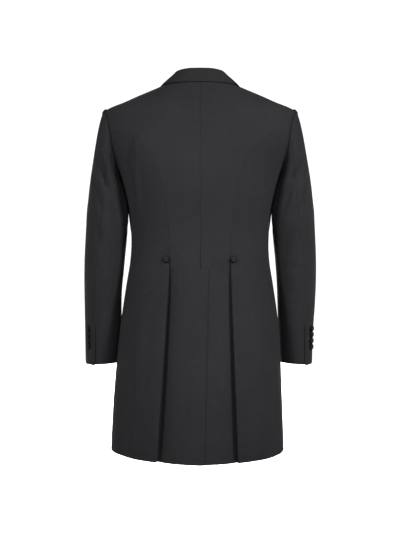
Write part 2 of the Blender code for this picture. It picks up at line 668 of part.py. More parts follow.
def grid_normals(points, closed=False):
    """Normals of a grid of points from its neighbours, outwards where columns run as on the body."""
    if closed:
        across = np.roll(points, -1, axis=1) - np.roll(points, 1, axis=1)
    else:
        across = np.gradient(points, axis=1)
    down = np.gradient(points, axis=0)
    normal = np.cross(across, down)
    return normal / np.maximum(np.linalg.norm(normal, axis=-1, keepdims=True), 1e-9)


def full_round(half):
    """A row of stations from the left gorge by the centre back to the right gorge, made from the left half."""
    mirrored = half[::-1] * np.array([-1, 1, 1])
    return np.concatenate([mirrored[:-1], half])


def collar_stations():
    """The stations of the necks of the back and of the front, at those panels' own points."""
    names = COLLAR_COLUMNS
    table = np.array(COLLAR)
    back = np.interp(BACK_SHARES * 90, table[:5, names.index("foot_angle")], table[:5, 0])
    drops = np.array([NECK_DROP + s for s in SHOULDER_ROWS[1:]] + [GORGE_DROP - GORGE_GAP])
    front = np.interp(drops, table[4:, names.index("foot_drop")], table[4:, 0])
    return np.concatenate([back, front])


def collar_lines(stations):
    """The foot, the fold line and the leaf's edge, with the cloth's normal there."""
    read = {name: smooth(COLLAR, COLLAR_COLUMNS, name, stations) for name in COLLAR_COLUMNS[1:]}
    drop = np.interp(stations, [row[0] for row in COLLAR], [row[2] for row in COLLAR])
    across = smooth(FRONT_EDGE, FRONT_EDGE_COLUMNS, "across", drop)
    angle = np.where(stations <= 4, np.radians(read["foot_angle"]), front_angle(across, drop))
    foot = surface(angle, drop, 0.0)
    fold_line = np.stack([read["fold_x"], read["fold_y"], read["fold_z"]], axis=1)
    leaf_angle = np.radians(read["leaf_angle"])
    lie = LAPEL_LIE + LEAF_RISE * ease((stations - LYING_FROM) / LYING_OVER)
    leaf = surface(leaf_angle, read["leaf_drop"], lie)
    normal = (leaf - surface(leaf_angle, read["leaf_drop"], 0.0)) / lie[:, None]
    lying = np.linalg.norm(fold_line - foot, axis=1) - lie
    places = (angle, drop, leaf_angle, read["leaf_drop"], lie, lying)
    return foot, fold_line, leaf, normal, places


def gorge_column(deeper):
    """The leaf's end, along the gorge to the notch and out to the collar's tip, and sunk by the depth given."""
    roll_x = float(smooth(FRONT_EDGE, FRONT_EDGE_COLUMNS, "across", GORGE_DROP))
    points = []
    for beyond, out in GORGE_WRAP:
        drop = GORGE_DROP - GORGE_GAP
        angle = front_angle(roll_x + beyond + deeper * GORGE_TURN, drop)
        points.append(surface(angle, drop, out - deeper))
    for v in LEAF_ROWS[:-1]:
        share = v / LEAF_ROWS[-2]
        across = roll_x + (NOTCH[0] - roll_x) * share
        drop = GORGE_DROP + (NOTCH[1] - GORGE_DROP) * share - GORGE_GAP
        out = LAPEL_LIE + LEAF_RISE + LAPEL_ROLL * roll_profile(1 - share / 2)
        points.append(surface(front_angle(across, drop), drop, out - deeper))
    tip_angle = front_angle(COLLAR_TIP[0], COLLAR_TIP[1])
    points.append(surface(tip_angle, COLLAR_TIP[1], LAPEL_LIE + LEAF_RISE - deeper))
    return np.array(points)


def fold_frame(line):
    """At each point of the collar's fold, the way in to the neck and the way up from the cloth."""
    along = np.gradient(line, axis=0)
    along[0] = (1, 0, 0)
    along /= np.linalg.norm(along, axis=1, keepdims=True)
    inward = np.cross(along, [0, 0, 1])
    inward /= np.linalg.norm(inward, axis=1, keepdims=True)
    return inward, np.cross(inward, along)


def collar():
    """The stand from the neckline to the fold, and the leaf from the fold down over the stand."""
    stations = collar_stations()

    foot, fold_line, leaf, normal, places = collar_lines(stations[stations < STAND_END])
    inward, up = fold_frame(fold_line)
    stand_top = fold_line + inward * STAND_TOP[0] - up * STAND_TOP[1]
    stand_foot = foot + (inward + up) * LAYER_GAP
    stand = np.array([full_round(stand_foot + (stand_top - stand_foot) * v) for v in STAND_ROWS])
    cells = np.ones((stand.shape[0] - 1, stand.shape[1] - 1), bool)
    inner = stand - grid_normals(stand) * WALL
    wall("collar_stand", stand, inner, cells, 1, material("wool_collar", CHARCOAL_SIDE, 0.85))

    foot, fold_line, leaf, normal, places = collar_lines(stations)
    foot_angle, foot_drop, leaf_angle, leaf_drop, lie, height = places
    inward, up = fold_frame(fold_line)
    centre = fold_line + (inward - up) * CREST_RADIUS
    fall = leaf - fold_line
    fall /= np.linalg.norm(fall, axis=1, keepdims=True)
    steepness = np.arctan2(-(fall * up).sum(axis=1), -(fall * inward).sum(axis=1))
    last = np.pi / 2 - steepness
    rows = []
    for share in (0.0, 0.5, 1.0):
        turn = (CREST_START + (last - CREST_START) * share)[:, None]
        rows.append(centre + (up * np.sin(turn) - inward * np.cos(turn)) * CREST_RADIUS)
    start = rows[-1]
    near = start + fall * LEAF_EASE[0]
    far = leaf - fall * LEAF_EASE[1] + normal * LEAF_EASE[2]
    lying = ease((stations - LYING_FROM) / LYING_OVER)[:, None]
    for v in LEAF_ROWS:
        falling = start * (1 - v) ** 3 + near * 3 * v * (1 - v) ** 2 + far * 3 * v * v * (1 - v) + leaf * v**3
        along_angle = foot_angle + (leaf_angle - foot_angle) * v
        along_drop = foot_drop + (leaf_drop - foot_drop) * v
        on_cloth = surface(along_angle, along_drop, lie + height * (1 - v) ** 2)
        rows.append(falling * (1 - lying) + on_cloth * lying)
    half = np.array(rows)
    half[:, -1] = gorge_column(0.0)
    points = np.array([full_round(row) for row in half])
    inner = points - grid_normals(points) * WALL
    end = gorge_column(WALL)
    inner[:, -1], inner[:, 0] = end, end * np.array([-1, 1, 1])
    cells = np.ones((points.shape[0] - 1, points.shape[1] - 1), bool)
    wall("collar_leaf", points, inner, cells, 1, material("wool_collar", CHARCOAL_SIDE, 0.85))


def sleeve_ring(turn, drop):
    """A point of the sleeve's section; turn 0 is its outer side and 90 its front."""
    inner, outer, middle, deep = (smooth(SLEEVE, SLEEVE_COLUMNS, name, drop) for name in SLEEVE_COLUMNS[1:])
    turn = np.radians(turn)
    x = (inner + outer) / 2 + (outer - inner) / 2 * np.cos(turn)
    y = middle - deep * np.sin(turn)
    return np.stack(np.broadcast_arrays(x, y, -drop), axis=-1)


def clear_of_body(points, share=1.0):
    """Moves points out to the side until they clear the body by this share of the clearance."""
    drop = -points[..., 2]
    half, back, front, square = (smooth(TORSO, TORSO_COLUMNS, name, drop) for name in TORSO_COLUMNS[1:])
    y = points[..., 1]
    depth = np.where(y > 0, back, front)
    side = half * (1 - np.clip(np.abs(y) / depth, 0, 1) ** square) ** (1 / square)
    least = side + SLEEVE_CLEAR * share
    x = points[..., 0]
    soft = SLEEVE_CLEAR
    over = x - least
    pushed = least + soft * np.exp((np.minimum(over, soft) - soft) / soft)
    return np.stack([np.where(over > soft, x, pushed), y, points[..., 2]], axis=-1)


def sleeves(side):
    """The top and under sleeve, one tube of points from the armhole's edge to the cuff, parted at two seams."""
    turns = np.array(ARMHOLE_FRONT + ARMHOLE_SIDE[1:] + ARMHOLE_BACK[1:-1])
    front_column, back_column = (int(np.argmin(np.abs(turns - at_top))) for at_top, at_cuff in SLEEVE_SEAMS)
    front_cuff, back_cuff = (at_cuff for at_top, at_cuff in SLEEVE_SEAMS)
    count = len(turns)
    # Turns at the cuff run evenly between the two seams.
    cuff = np.zeros(count)
    cuff[front_column : back_column + 1] = np.linspace(front_cuff, back_cuff, back_column - front_column + 1)
    rest = np.linspace(back_cuff, front_cuff + 360, count - back_column + front_column + 1)
    for k, value in enumerate(rest[:-1]):
        cuff[(back_column + k) % count] = value if back_column + k < count else value - 360
    top_angle, top_drop = armhole(turns)
    start = surface(top_angle, top_drop, 0.0)
    start_inner = surface(top_angle, top_drop, -WALL)
    radial = np.stack([np.zeros(count), -np.sin(np.radians(turns)), np.cos(np.radians(turns))], axis=1)
    bulge = HEAD_BULGE[0] + HEAD_BULGE[1] * np.cos(np.radians(turns))
    first = start + bulge[:, None] * (np.array([1, 0, 0]) + HEAD_SPREAD * radial)
    # A small step into the opening keeps the sleeve head clear of the armhole's edge.
    start = start - radial * HEAD_STEP
    start_inner = start_inner - radial * HEAD_STEP
    end = sleeve_ring(turns + (cuff - turns) * EARLY_TURN, np.array(SLEEVE_TOP))
    fall = (start[:, 2] - end[:, 2])[:, None] * HEAD_REACH
    last = end + fall * np.array([-SLEEVE_TILT, 0, 1])
    rows = [start]
    for t in ARM_STEPS:
        point = start * (1 - t) ** 3 + first * 3 * t * (1 - t) ** 2 + last * 3 * t * t * (1 - t) + end * t**3
        rows.append(clear_of_body(point, min(1.0, t / ARM_STEPS[1])))
    for d in SLEEVE_ROWS:
        share = EARLY_TURN + (1 - EARLY_TURN) * min(1.0, (d - SLEEVE_TOP) / (CUFF_VENT_TOP - SLEEVE_TOP))
        rows.append(clear_of_body(sleeve_ring(turns + (cuff - turns) * share, np.array(d))))
    points = np.array(rows)
    normals = grid_normals(points, closed=True)
    inner = points - normals * WALL
    inner[0] = start_inner
    under_columns = list(range(front_column, back_column + 1))
    top_columns = [k % count for k in range(back_column, count + front_column + 1)]
    # The back seam opens in a vent above the cuff.
    vent = np.array([0.0] * (1 + len(ARM_STEPS)) + [1.0 if d > CUFF_VENT_TOP else 0.0 for d in SLEEVE_ROWS])
    wool = material("wool_sleeve", CHARCOAL_SIDE, 0.85)
    under_cells = np.ones((len(points) - 1, len(under_columns) - 1), bool)
    under_outer, under_inner = points[:, under_columns], inner[:, under_columns]
    wall(f"under_sleeve_{side_name(side)}", under_outer, under_inner, under_cells, side, wool)
    top_outer, top_inner = points[:, top_columns].copy(), inner[:, top_columns].copy()
    # The top sleeve's edge rises over the under sleeve along the cuff's vent.
    rise = normals[:, top_columns] * vent[:, None, None] * LAYER
    lap = CUFF_LAP * np.concatenate([[0.0], vent[:-1]]) * vent
    toward = top_outer[:, 0] - top_outer[:, 1]
    toward /= np.linalg.norm(toward, axis=1, keepdims=True)
    for grid in (top_outer, top_inner):
        grid[:, 0] += rise[:, 0] + toward * lap[:, None]
        grid[:, 1] += rise[:, 1]
    top_cells = np.ones((len(points) - 1, len(top_columns) - 1), bool)
    wall(f"top_sleeve_{side_name(side)}", top_outer, top_inner, top_cells, side, wool)


def button(name, place, normal, size):
    """A domed covered button, turned round its own axis and set on its place."""
    radius, height = size[0] / 2, size[1]
    mesh = bmesh.new()
    corners = [mesh.verts.new((radius * r, 0, height * h)) for r, h in BUTTON_PROFILE]
    for a, b in zip(corners, corners[1:]):
        mesh.edges.new((a, b))
    made = add(name, mesh, material("covered_button", COVERED, 0.7))
    turn = made.modifiers.new("turned", "SCREW")
    turn.steps = turn.render_steps = BUTTON_STEPS
    turn.use_merge_vertices = True
    turn.merge_threshold = 0.0001
    turn.use_smooth_shade = True
    made.location = place
    made.rotation_mode = "QUATERNION"
    made.rotation_quaternion = Vector(normal).to_track_quat("Z", "Y")


def seat(names, place, normal, radius):
    """The height above a place, along its normal, of the highest cloth under a button."""
    side_way = Vector(normal).orthogonal().normalized()
    other_way = Vector(normal).cross(side_way)
    graph = bpy.context.evaluated_depsgraph_get()
    trees = [BVHTree.FromObject(bpy.data.objects[name], graph) for name in names]
    heights = []
    for share in (0.0, 0.5, 1.0):
        for k in range(SEAT_RAYS):
            turn = 2 * math.pi * k / SEAT_RAYS
            point = Vector(place) + (side_way * math.cos(turn) + other_way * math.sin(turn)) * radius * share
            for tree in trees:
                hit = tree.ray_cast(point + Vector(normal) * SEAT_REACH, -Vector(normal), 2 * SEAT_REACH)
                if hit[0] is not None:
                    heights.append((hit[0] - Vector(place)).dot(Vector(normal)))
    return max(heights)


def button_on(name, place, normal, size, side, cloth_names):
    """A button whose base sits just clear of the cloth, square to it."""
    flip = np.array([side, 1, 1])
    place, normal = place * flip, normal * flip / np.linalg.norm(normal)
    height = seat(cloth_names, place, normal, size[0] / 2) + SEAM_GAP
    button(name, place + normal * height, normal, size)


def buttons():
    for side in (1, -1):
        word = side_name(side)
        across, drop = BACK_BUTTON_AT
        a = angle_at(across, drop, BACK)
        under = (f"back_{word}", f"side_body_{word}")
        place = surface(a, drop, 0.0)
        button_on(f"back_button_{word}", place, surface(a, drop, WALL) - place, BACK_BUTTON, side, under)
        for k, d in enumerate(CUFF_BUTTON_DROPS):
            before, place, after = (sleeve_ring(CUFF_BUTTON_ANGLE + a, np.array(d)) for a in (-4, 0, 4))
            normal = np.cross(after - before, [0, 0, -1.0])
            button_on(f"cuff_button_{word}_{k + 1}", place, normal, CUFF_BUTTON, side, (f"top_sleeve_{word}",))
    for k, d in enumerate(FRONT_BUTTON_DROPS):
        place = surface(math.pi, d, 0.0)
        button_on(f"front_button_{k + 1}", place, surface(math.pi, d, WALL) - place, FRONT_BUTTON, 1, ("front_left",))


def build():
    for old in list(bpy.data.objects):
        bpy.data.objects.remove(old, do_unlink=True)
    collection = bpy.data.collections.new(COAT)
    bpy.context.scene.collection.children.link(collection)
    for side in (1, -1):
        back_panel(side)
        side_body(side)
        front_panel(side)
        lapel(side)
        sleeves(side)
    collar()
    buttons()


build()
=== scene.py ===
# %% [markdown]
# # A peak-lapel frock coat
# The real coat is cut from a fine charcoal worsted. A tailor cuts flat panels, shapes them with curved
# seams and steam, and folds the skirts into two pleats behind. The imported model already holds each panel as
# a plain wall. Here each one is made again as a fine shell on the same form, with the creases, the sunk
# seams, the turned edges and the weave that the plain wall lacks.

import json
import math
from functools import partial

import bpy
import numpy as np
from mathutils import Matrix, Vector
from mathutils.bvhtree import BVHTree
from mathutils.kdtree import KDTree

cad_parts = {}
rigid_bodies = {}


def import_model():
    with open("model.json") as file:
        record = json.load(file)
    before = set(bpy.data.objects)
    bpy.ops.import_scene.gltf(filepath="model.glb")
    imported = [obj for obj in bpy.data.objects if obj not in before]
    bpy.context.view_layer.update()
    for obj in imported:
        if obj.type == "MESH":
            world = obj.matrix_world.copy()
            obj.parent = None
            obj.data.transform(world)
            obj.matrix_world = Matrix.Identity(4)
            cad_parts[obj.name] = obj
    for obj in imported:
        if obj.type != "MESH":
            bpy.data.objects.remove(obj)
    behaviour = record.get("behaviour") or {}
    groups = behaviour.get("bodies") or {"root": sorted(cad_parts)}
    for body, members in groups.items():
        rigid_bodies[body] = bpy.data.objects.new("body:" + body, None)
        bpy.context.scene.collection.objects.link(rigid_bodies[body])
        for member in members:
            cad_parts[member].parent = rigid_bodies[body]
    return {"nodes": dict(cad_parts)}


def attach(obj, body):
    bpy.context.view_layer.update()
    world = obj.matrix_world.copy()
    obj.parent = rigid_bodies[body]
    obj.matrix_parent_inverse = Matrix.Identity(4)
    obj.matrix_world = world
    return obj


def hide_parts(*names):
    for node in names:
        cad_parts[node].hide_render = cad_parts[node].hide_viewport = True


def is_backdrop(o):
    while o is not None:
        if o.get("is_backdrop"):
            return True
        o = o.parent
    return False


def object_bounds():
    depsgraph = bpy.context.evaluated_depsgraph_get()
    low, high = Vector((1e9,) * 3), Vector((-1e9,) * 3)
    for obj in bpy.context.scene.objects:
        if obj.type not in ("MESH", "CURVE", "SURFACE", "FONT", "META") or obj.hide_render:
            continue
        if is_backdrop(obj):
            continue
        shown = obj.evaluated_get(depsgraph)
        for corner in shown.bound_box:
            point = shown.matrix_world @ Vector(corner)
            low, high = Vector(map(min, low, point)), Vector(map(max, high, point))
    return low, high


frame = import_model()
cad_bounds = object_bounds()
print("nodes:", len(frame["nodes"]), "box:", [[round(v, 3) for v in corner] for corner in cad_bounds])

# %% [markdown]
# ## The camera
# The photo looks straight at the coat's back from about three and a half metres, at the height of its
# middle, so the lens is long and hardly bends the form. The coat's front faces -Y, so the camera stands on
# +Y.

# %% The camera
CAMERA_DISTANCE = 3.5
CAMERA_HEIGHT = -0.461
FIELD_HEIGHT = 1.3085  # of the whole picture, at the coat
SENSOR_WIDTH = 36  # in millimetres


def in_scene(name, data):
    """A new object in the scene, at the origin."""
    made = bpy.data.objects.new(name, data)
    bpy.context.scene.collection.objects.link(made)
    return made


camera_data = bpy.data.cameras.new("camera")
camera_data.sensor_width = SENSOR_WIDTH
camera_data.lens = SENSOR_WIDTH * CAMERA_DISTANCE / FIELD_HEIGHT
camera = in_scene("camera", camera_data)
camera.location = (0, CAMERA_DISTANCE, CAMERA_HEIGHT)
camera.rotation_euler = (math.radians(90), 0, math.radians(180))
bpy.context.scene.camera = camera
print("lens", round(camera_data.lens, 1), "mm")

# %% [markdown]
# ## The cut of the body
# A pattern cutter works from a few girths at known heights. These tables do the same, in millimetres and
# degrees: a row gives the half width, the depth behind and before and how square the outline is, at a drop
# below the neck points. Everything on the body is a point on this surface, so neighbouring panels always
# meet.

# %% The sizes of the body
SIDES = {1: "left", -1: "right"}  # the wearer's
BACK, FRONT = 1, -1
MM = 1000  # in a metre
TINY = 1e-9  # stands in for nought where values are divided or compared
WALL = 0.002
LAYER_GAP = 0.0006  # between one layer of cloth and the next
LAYER = WALL + LAYER_GAP
MITRE_LIMIT = 0.75  # keeps the wall from growing too thick in a sharp bend
STEP_ROUND, STEP_DOWN = 0.01, 0.0015
METRES_PER_DEGREE = 0.0027  # round the body, on average

# Drop, half width, depth behind, depth before, squareness.
TORSO = np.array((
    (10, 72, 62, 52, 2), (22, 101, 68, 60, 2.02), (40, 144, 79, 78, 2.08), (60, 192, 91, 94, 2.15),
    (76, 230, 99, 103, 2.2), (100, 236, 108, 112, 2.25), (130, 236, 116, 120, 2.3),
    (160, 229, 122, 127, 2.38), (200, 212, 127, 132, 2.42), (240, 197, 128, 133, 2.45),
    (290, 184, 123, 129, 2.45), (347, 173.5, 112, 122, 2.4), (409, 168, 104, 116, 2.35),
    (446, 170, 105, 117, 2.32), (505, 179, 112, 123, 2.3), (593, 192, 122, 131, 2.28),
    (701, 200.5, 132, 139, 2.25), (824, 206.5, 140, 146, 2.22), (932, 210, 146, 150, 2.2),
), float) / (MM, MM, MM, MM, 1)
# Angle from the centre back, top, bottom, half width, depth.
FOLDS = np.array((
    (58, 140, 340, 16, 5), (70, 520, 1060, 24, 5), (104, 560, 1060, 26, 4), (128, 130, 330, 20, 3.5),
    (146, 600, 1060, 28, 3.5),
), float) / (1, MM, MM, MM, MM)
NECK_DROP, SHOULDER_DROP = 0.010, 0.076
ARMHOLE_BOTTOM, ARMHOLE_BACK_REACH, ARMHOLE_FRONT_REACH = 0.240, 0.056, 0.062
SIDE_SEAM_AT, BACK_SEAM_AT = 145.0, 289.5  # degrees round the armhole, from its top by the front
# Drop, place across.
BACK_SEAM = np.array((
    (146.5, 171), (164, 145), (181.5, 127), (201, 113.5), (240, 98), (270.5, 89), (320.8, 80.5),
    (355, 76.5), (390, 73.2), (440, 72.5), (470, 73.8), (700, 84.5), (930, 95.5),
), float) / MM
WAIST_DROP, PLEAT_TOP = 0.443, 0.468
# The pleats' sizes at their top and at the hem.
PLEAT_DEPTH, FOLD_RADIUS, BACK_RECESS = (0.022, 0.040), (0.0023, 0.0036), (0.0054, 0.0125)
ARMHOLE_FADE = 1.5
VENT_LAP, VENT_UNDERLAP, VENT_LAYER, VENT_FLAT = (0.0200, 0.0104), 0.026, 0.0030, 0.30
# Angle from the centre back, drop.
HEM = np.array((
    (0, 930), (27, 927.2), (54, 921.2), (72, 915.5), (90, 907.8), (120, 910.5), (180, 916), (215, 916),
), float) / (1, MM)
HEM_DROP, HEM_LEVEL_FROM = 0.9295, 0.480
# Drop, place across.
FRONT_EDGE = np.array((
    (10, 72), (18, 71.8), (33, 69), (55, 62.5), (75, 53), (110, 45.5), (180, 31.5), (260, 14), (340, -5.5),
    (400, -19), (430, -20), (900, -20), (930, -19),
), float) / MM
GORGE_DROP, BREAK_DROP = 0.075, 0.402
UNDER_FRONT, UNDER_FROM_ANGLE, UNDER_FROM_DROP = 0.0056, (128, 168), (0.24, 0.32)
print("tables of", len(TORSO), "body rows and", len(FOLDS), "large folds")

# %% [markdown]
# ## Reading the tables
# A curve through the rows keeps the form smooth between them, as a tailor's curve joins marks on paper. An
# ease is the soft start and stop that cloth has wherever one level changes into another.

# %% Reading the tables
def smooth(rows, at, column=1):
    """A smooth curve through one column of a table, at places along its first column."""
    x, y = rows[:, 0], rows[:, column]
    slope = np.gradient(y, x)
    at = np.clip(np.asarray(at, float), x[0], x[-1])
    i = np.clip(np.searchsorted(x, at, side="right") - 1, 0, len(x) - 2)
    span = x[i + 1] - x[i]
    t = (at - x[i]) / span
    start = y[i] * (1 + 2 * t) + slope[i] * span * t
    end = y[i + 1] * (3 - 2 * t) - slope[i + 1] * span * (1 - t)
    return start * (1 - t) ** 2 + end * t**2


def torso(drop):
    """The half width, the depths behind and before, and the squareness at a drop."""
    return [smooth(TORSO, drop, column) for column in (1, 2, 3, 4)]


def ease(t):
    t = np.clip(t, 0, 1)
    return t * t * (3 - 2 * t)


def unit(v):
    return v / np.maximum(np.linalg.norm(v, axis=-1, keepdims=True), TINY)


print("half width at the waist:", round(float(torso(0.409)[0]), 4))

# %% [markdown]
# ## Creases
# Cloth that hangs from the shoulders pulls into soft troughs: behind the armholes, where the arm needs
# room, at the waist, where the body turns in, and in long flutes down the skirt. Each row is one crease, as
# a line on the body from one place to another. An angle goes round from the centre back, and is negative
# on the wearer's right. A depth below zero stands out as a ridge. No two are alike, as on the real coat.

# %% The creases of the body
# From an angle and a drop to an angle and a drop, half width, depth.
CREASES = np.array((
    # Behind the armholes.
    (60.5, 126, 69.5, 350, 8, 7.8), (55, 140, 63.5, 335, 8, -4.6), (66, 225, 77, 400, 10, 2.4),
    (47, 170, 50, 330, 12, 1.2), (-61.5, 130, -69.5, 345, 8.5, 5), (-55.5, 128, -62, 290, 8, -3.2),
    (-67, 190, -76, 380, 10, 2.8),
    # Across the shoulder blades and under the collar.
    (8, 36, 38, 52, 7, 0.7), (-6, 40, -33, 47, 8, 0.6), (30, 70, 50, 130, 14, -1),
    (-31, 78, -48, 140, 15, -1.1),
    # The shoulders slope down to the sleeve head.
    (90, 46, 90, 86, 24, 6.2), (-90, 46, -90, 86, 24, 6.2),
    # Into the waist.
    (33, 330, 66, 410, 9, 0.9), (38, 400, 74, 438, 8, 1), (-36, 345, -62, 398, 8.5, 0.8),
    (-34, 412, -70, 446, 7.5, 1), (80, 370, 108, 420, 10, 1), (-82, 362, -112, 430, 9, 1.1),
    # Flutes down the skirt.
    (49, 500, 50, 915, 11, 1.3), (58, 560, 61, 925, 12, -1.5), (83, 540, 85, 925, 12, 1.2),
    (-47, 520, -46, 930, 12, 1.1), (-56, 590, -59, 925, 11, -1.2), (-79, 510, -84, 925, 13, 1.4),
    (14, 640, 12, 925, 8, 0.8), (-15, 600, -17, 925, 9, 0.9), (-8, 500, -7, 800, 7, -0.6),
    # Where the arm rests.
    (83, 212, 82, 372, 11.5, 4.4), (-83, 212, -82, 372, 11.5, 4.4), (88, 400, 88, 640, 35, -1.5),
    (84, 592, 84, 710, 8, -2), (-84, 592, -84, 710, 8, -2),
    # The left skirt stands out and the right one hangs in.
    (90, 640, 89, 1150, 45, -9.5), (-90, 600, -89, 1150, 45, 3),
    # The front.
    (122, 120, 117, 290, 9, 1.6), (-121, 130, -118, 300, 8.5, 1.8), (150, 400, 132, 440, 8, 1),
    (-148, 395, -130, 435, 8.5, 1.1), (152, 560, 149, 925, 11, 1.3), (-150, 520, -148, 925, 12, 1.2),
    (120, 600, 122, 925, 12, -1.2), (-124, 580, -121, 925, 13, -1.4),
), float) / (1, MM, 1, MM, MM, MM)
CREASE_END, CREASE_POWER = 0.04, 0.8  # how soon and how fast a crease deepens from its ends


def deepening(share):
    """Nought at both ends of a line and one in its middle."""
    return np.sin(np.pi * share) ** CREASE_POWER


def crease_depth(table, degrees, drop, metres_per_degree=METRES_PER_DEGREE):
    """How far a table of creases sinks a surface, at places round it and down it."""
    sunk = np.zeros(np.broadcast(degrees, drop).shape)
    for from_angle, from_drop, to_angle, to_drop, half_width, depth in table:
        away = (degrees - from_angle + 180) % 360 - 180
        x, y = away * metres_per_degree, drop - from_drop
        run_x, run_y = (to_angle - from_angle) * metres_per_degree, to_drop - from_drop
        length = math.hypot(run_x, run_y)
        t = np.clip((x * run_x + y * run_y) / length**2, 0, 1)
        beside = np.hypot(x - run_x * t, y - run_y * t) / half_width
        sunk = sunk + depth * np.exp(-(beside**2)) * deepening(CREASE_END + (1 - 2 * CREASE_END) * t)
    return sunk


print("creases on the body:", len(CREASES))

# %% [markdown]
# ## The body's surface
# Every body panel asks this surface for its points: an angle round the body, a drop, and how far out it
# lies. The last one stacks the layers, such as a lapel on a front.

# %% The body's surface
def ring(angle, drop):
    half, back, front, square = torso(drop)
    sine, cosine = np.sin(angle), np.cos(angle)
    depth = np.where(cosine > 0, back, front)
    reach = (np.abs(sine / half) ** square + np.abs(cosine / depth) ** square) ** (-1 / square)
    return np.stack([reach * sine, reach * cosine, -drop], axis=-1)


def large_folds(angle, drop):
    sunk = np.zeros(np.broadcast(angle, drop).shape)
    degrees = np.degrees(np.abs((angle + np.pi) % (2 * np.pi) - np.pi))
    for centre, top, bottom, half_width, depth in FOLDS:
        across = (degrees - centre) * METRES_PER_DEGREE / half_width
        down = np.clip((drop - top) / (bottom - top), 0, 1)
        sunk = sunk + depth * np.exp(-(across**2)) * deepening(down)
    return sunk


def cloth(angle, drop):
    point = ring(angle, drop)
    inward = unit(point * np.array([1, 1, 0]))
    sunk = large_folds(angle, drop) + crease_depth(CREASES, np.degrees(angle), drop)
    return point - inward * sunk[..., None]


def surface(angle, drop, out):
    angle, drop, out = np.broadcast_arrays(np.asarray(angle, float), np.asarray(drop, float), out)
    round_it = cloth(angle + STEP_ROUND, drop) - cloth(angle - STEP_ROUND, drop)
    down = cloth(angle, drop + STEP_DOWN) - cloth(angle, drop - STEP_DOWN)
    return cloth(angle, drop) + unit(np.cross(round_it, down)) * out[..., None]


def speed(angle, drop):
    ahead, behind = cloth(angle + STEP_ROUND, drop), cloth(angle - STEP_ROUND, drop)
    return np.linalg.norm(ahead - behind, axis=-1) / (2 * STEP_ROUND)


def width_at(y, drop):
    """How wide the body is to one side, at a place between its back and its front."""
    half, back, front, square = torso(drop)
    share = np.clip(np.abs(y) / np.where(y > 0, back, front), 0, 1)
    return half * (1 - share**square) ** (1 / square)


def angle_at(across, drop, side):
    half, back, front, square = torso(drop)
    depth = back if side == BACK else front
    share = np.clip(np.abs(across) / half, 0, 1)
    return np.arctan2(across, side * depth * (1 - share**square) ** (1 / square))


def front_angle(across, drop):
    return np.mod(angle_at(across, drop, FRONT), 2 * np.pi)


def armhole(turn):
    """Angles and drops round the armhole, for turns in degrees from its top by the front."""
    turn = np.radians(turn)
    drop = SHOULDER_DROP + (ARMHOLE_BOTTOM - SHOULDER_DROP) * (1 - np.cos(turn)) / 2
    reach = np.where(np.sin(turn) > 0, ARMHOLE_FRONT_REACH, ARMHOLE_BACK_REACH)
    y = -reach * np.sin(turn)
    return np.arctan2(width_at(y, drop), y), drop


SIDE_SEAM_ANGLE = float(armhole(SIDE_SEAM_AT)[0])


def level(nominal, angle):
    """The real drop of a row, which bends below the waist to follow the hem."""
    hem = smooth(HEM, np.degrees(np.abs(angle)))
    below = np.maximum(nominal - HEM_LEVEL_FROM, 0)
    return nominal + below * (hem - HEM_DROP) / (HEM_DROP - HEM_LEVEL_FROM)


def part_way(ends, drop, top):
    """A size that changes evenly from the top of the pleats to the hem."""
    return ends[0] + (ends[1] - ends[0]) * np.clip((drop - top) / (HEM_DROP - top), 0, 1)


print("side seam at", round(math.degrees(SIDE_SEAM_ANGLE), 1), "degrees")

# %% [markdown]
# ## A panel as a shell
# A panel is a grid of points, fine near its edges, where the cloth turns in at a seam, and about as fine as
# a fingertip elsewhere. The wall is two grids a cloth's thickness apart, closed by a rounded rim, so its
# faces point outwards and nothing shows through. The map of each panel runs in metres along the grain,
# because the weave has to lie straight on the cloth and not on the body.

# %% How fine the grids are
GRID = 0.0042
EDGE_STEPS = (0.0007, 0.0017, 0.0031)
SEAM_SINK, SEAM_WIDTH = 0.00045, 0.0016
RIM_IN, RIM_BULGE = 0.00030, 0.00025
PUCKER, PUCKER_AT, PUCKER_WAVES = 0.00030, 0.0045, 520.0
PUCKER_DRIFTS = ((3, 97), (2, 41))  # slower waves that keep the pucker from repeating


def graded(length, start=True, end=True, step=GRID):
    """Places from 0 to 1 along a length, closer together at the ends that are edges."""
    first = [0.0] + (list(EDGE_STEPS) if start else [])
    last = [length] + ([length - s for s in EDGE_STEPS] if end else [])
    low, high = first[-1], min(last)
    count = max(2, round((high - low) / step) + 1)
    places = first[:-1] + list(np.linspace(low, high, count)) + sorted(last)[1:]
    return np.array(places) / length


def along_curve(points, start=True, end=True, step=GRID):
    """The same for a curve of points, as shares of its own parameter from 0 to 1."""
    lengths = np.concatenate([[0], np.cumsum(np.linalg.norm(np.diff(points, axis=0), axis=1))])
    places = graded(lengths[-1], start, end, step) * lengths[-1]
    return np.interp(places, lengths, np.linspace(0, 1, len(points)))


print("shares of a 50 mm strip:", len(graded(0.05)))

# %% [markdown]
# ## The inner face
# The inner face lies a cloth's thickness behind the outer one. At a fold the thickness is laid off along
# the middle of the bend, like a mitre, so the wall stays even there. A modifier that thickens a sheet would
# cross itself in the tight pleats.

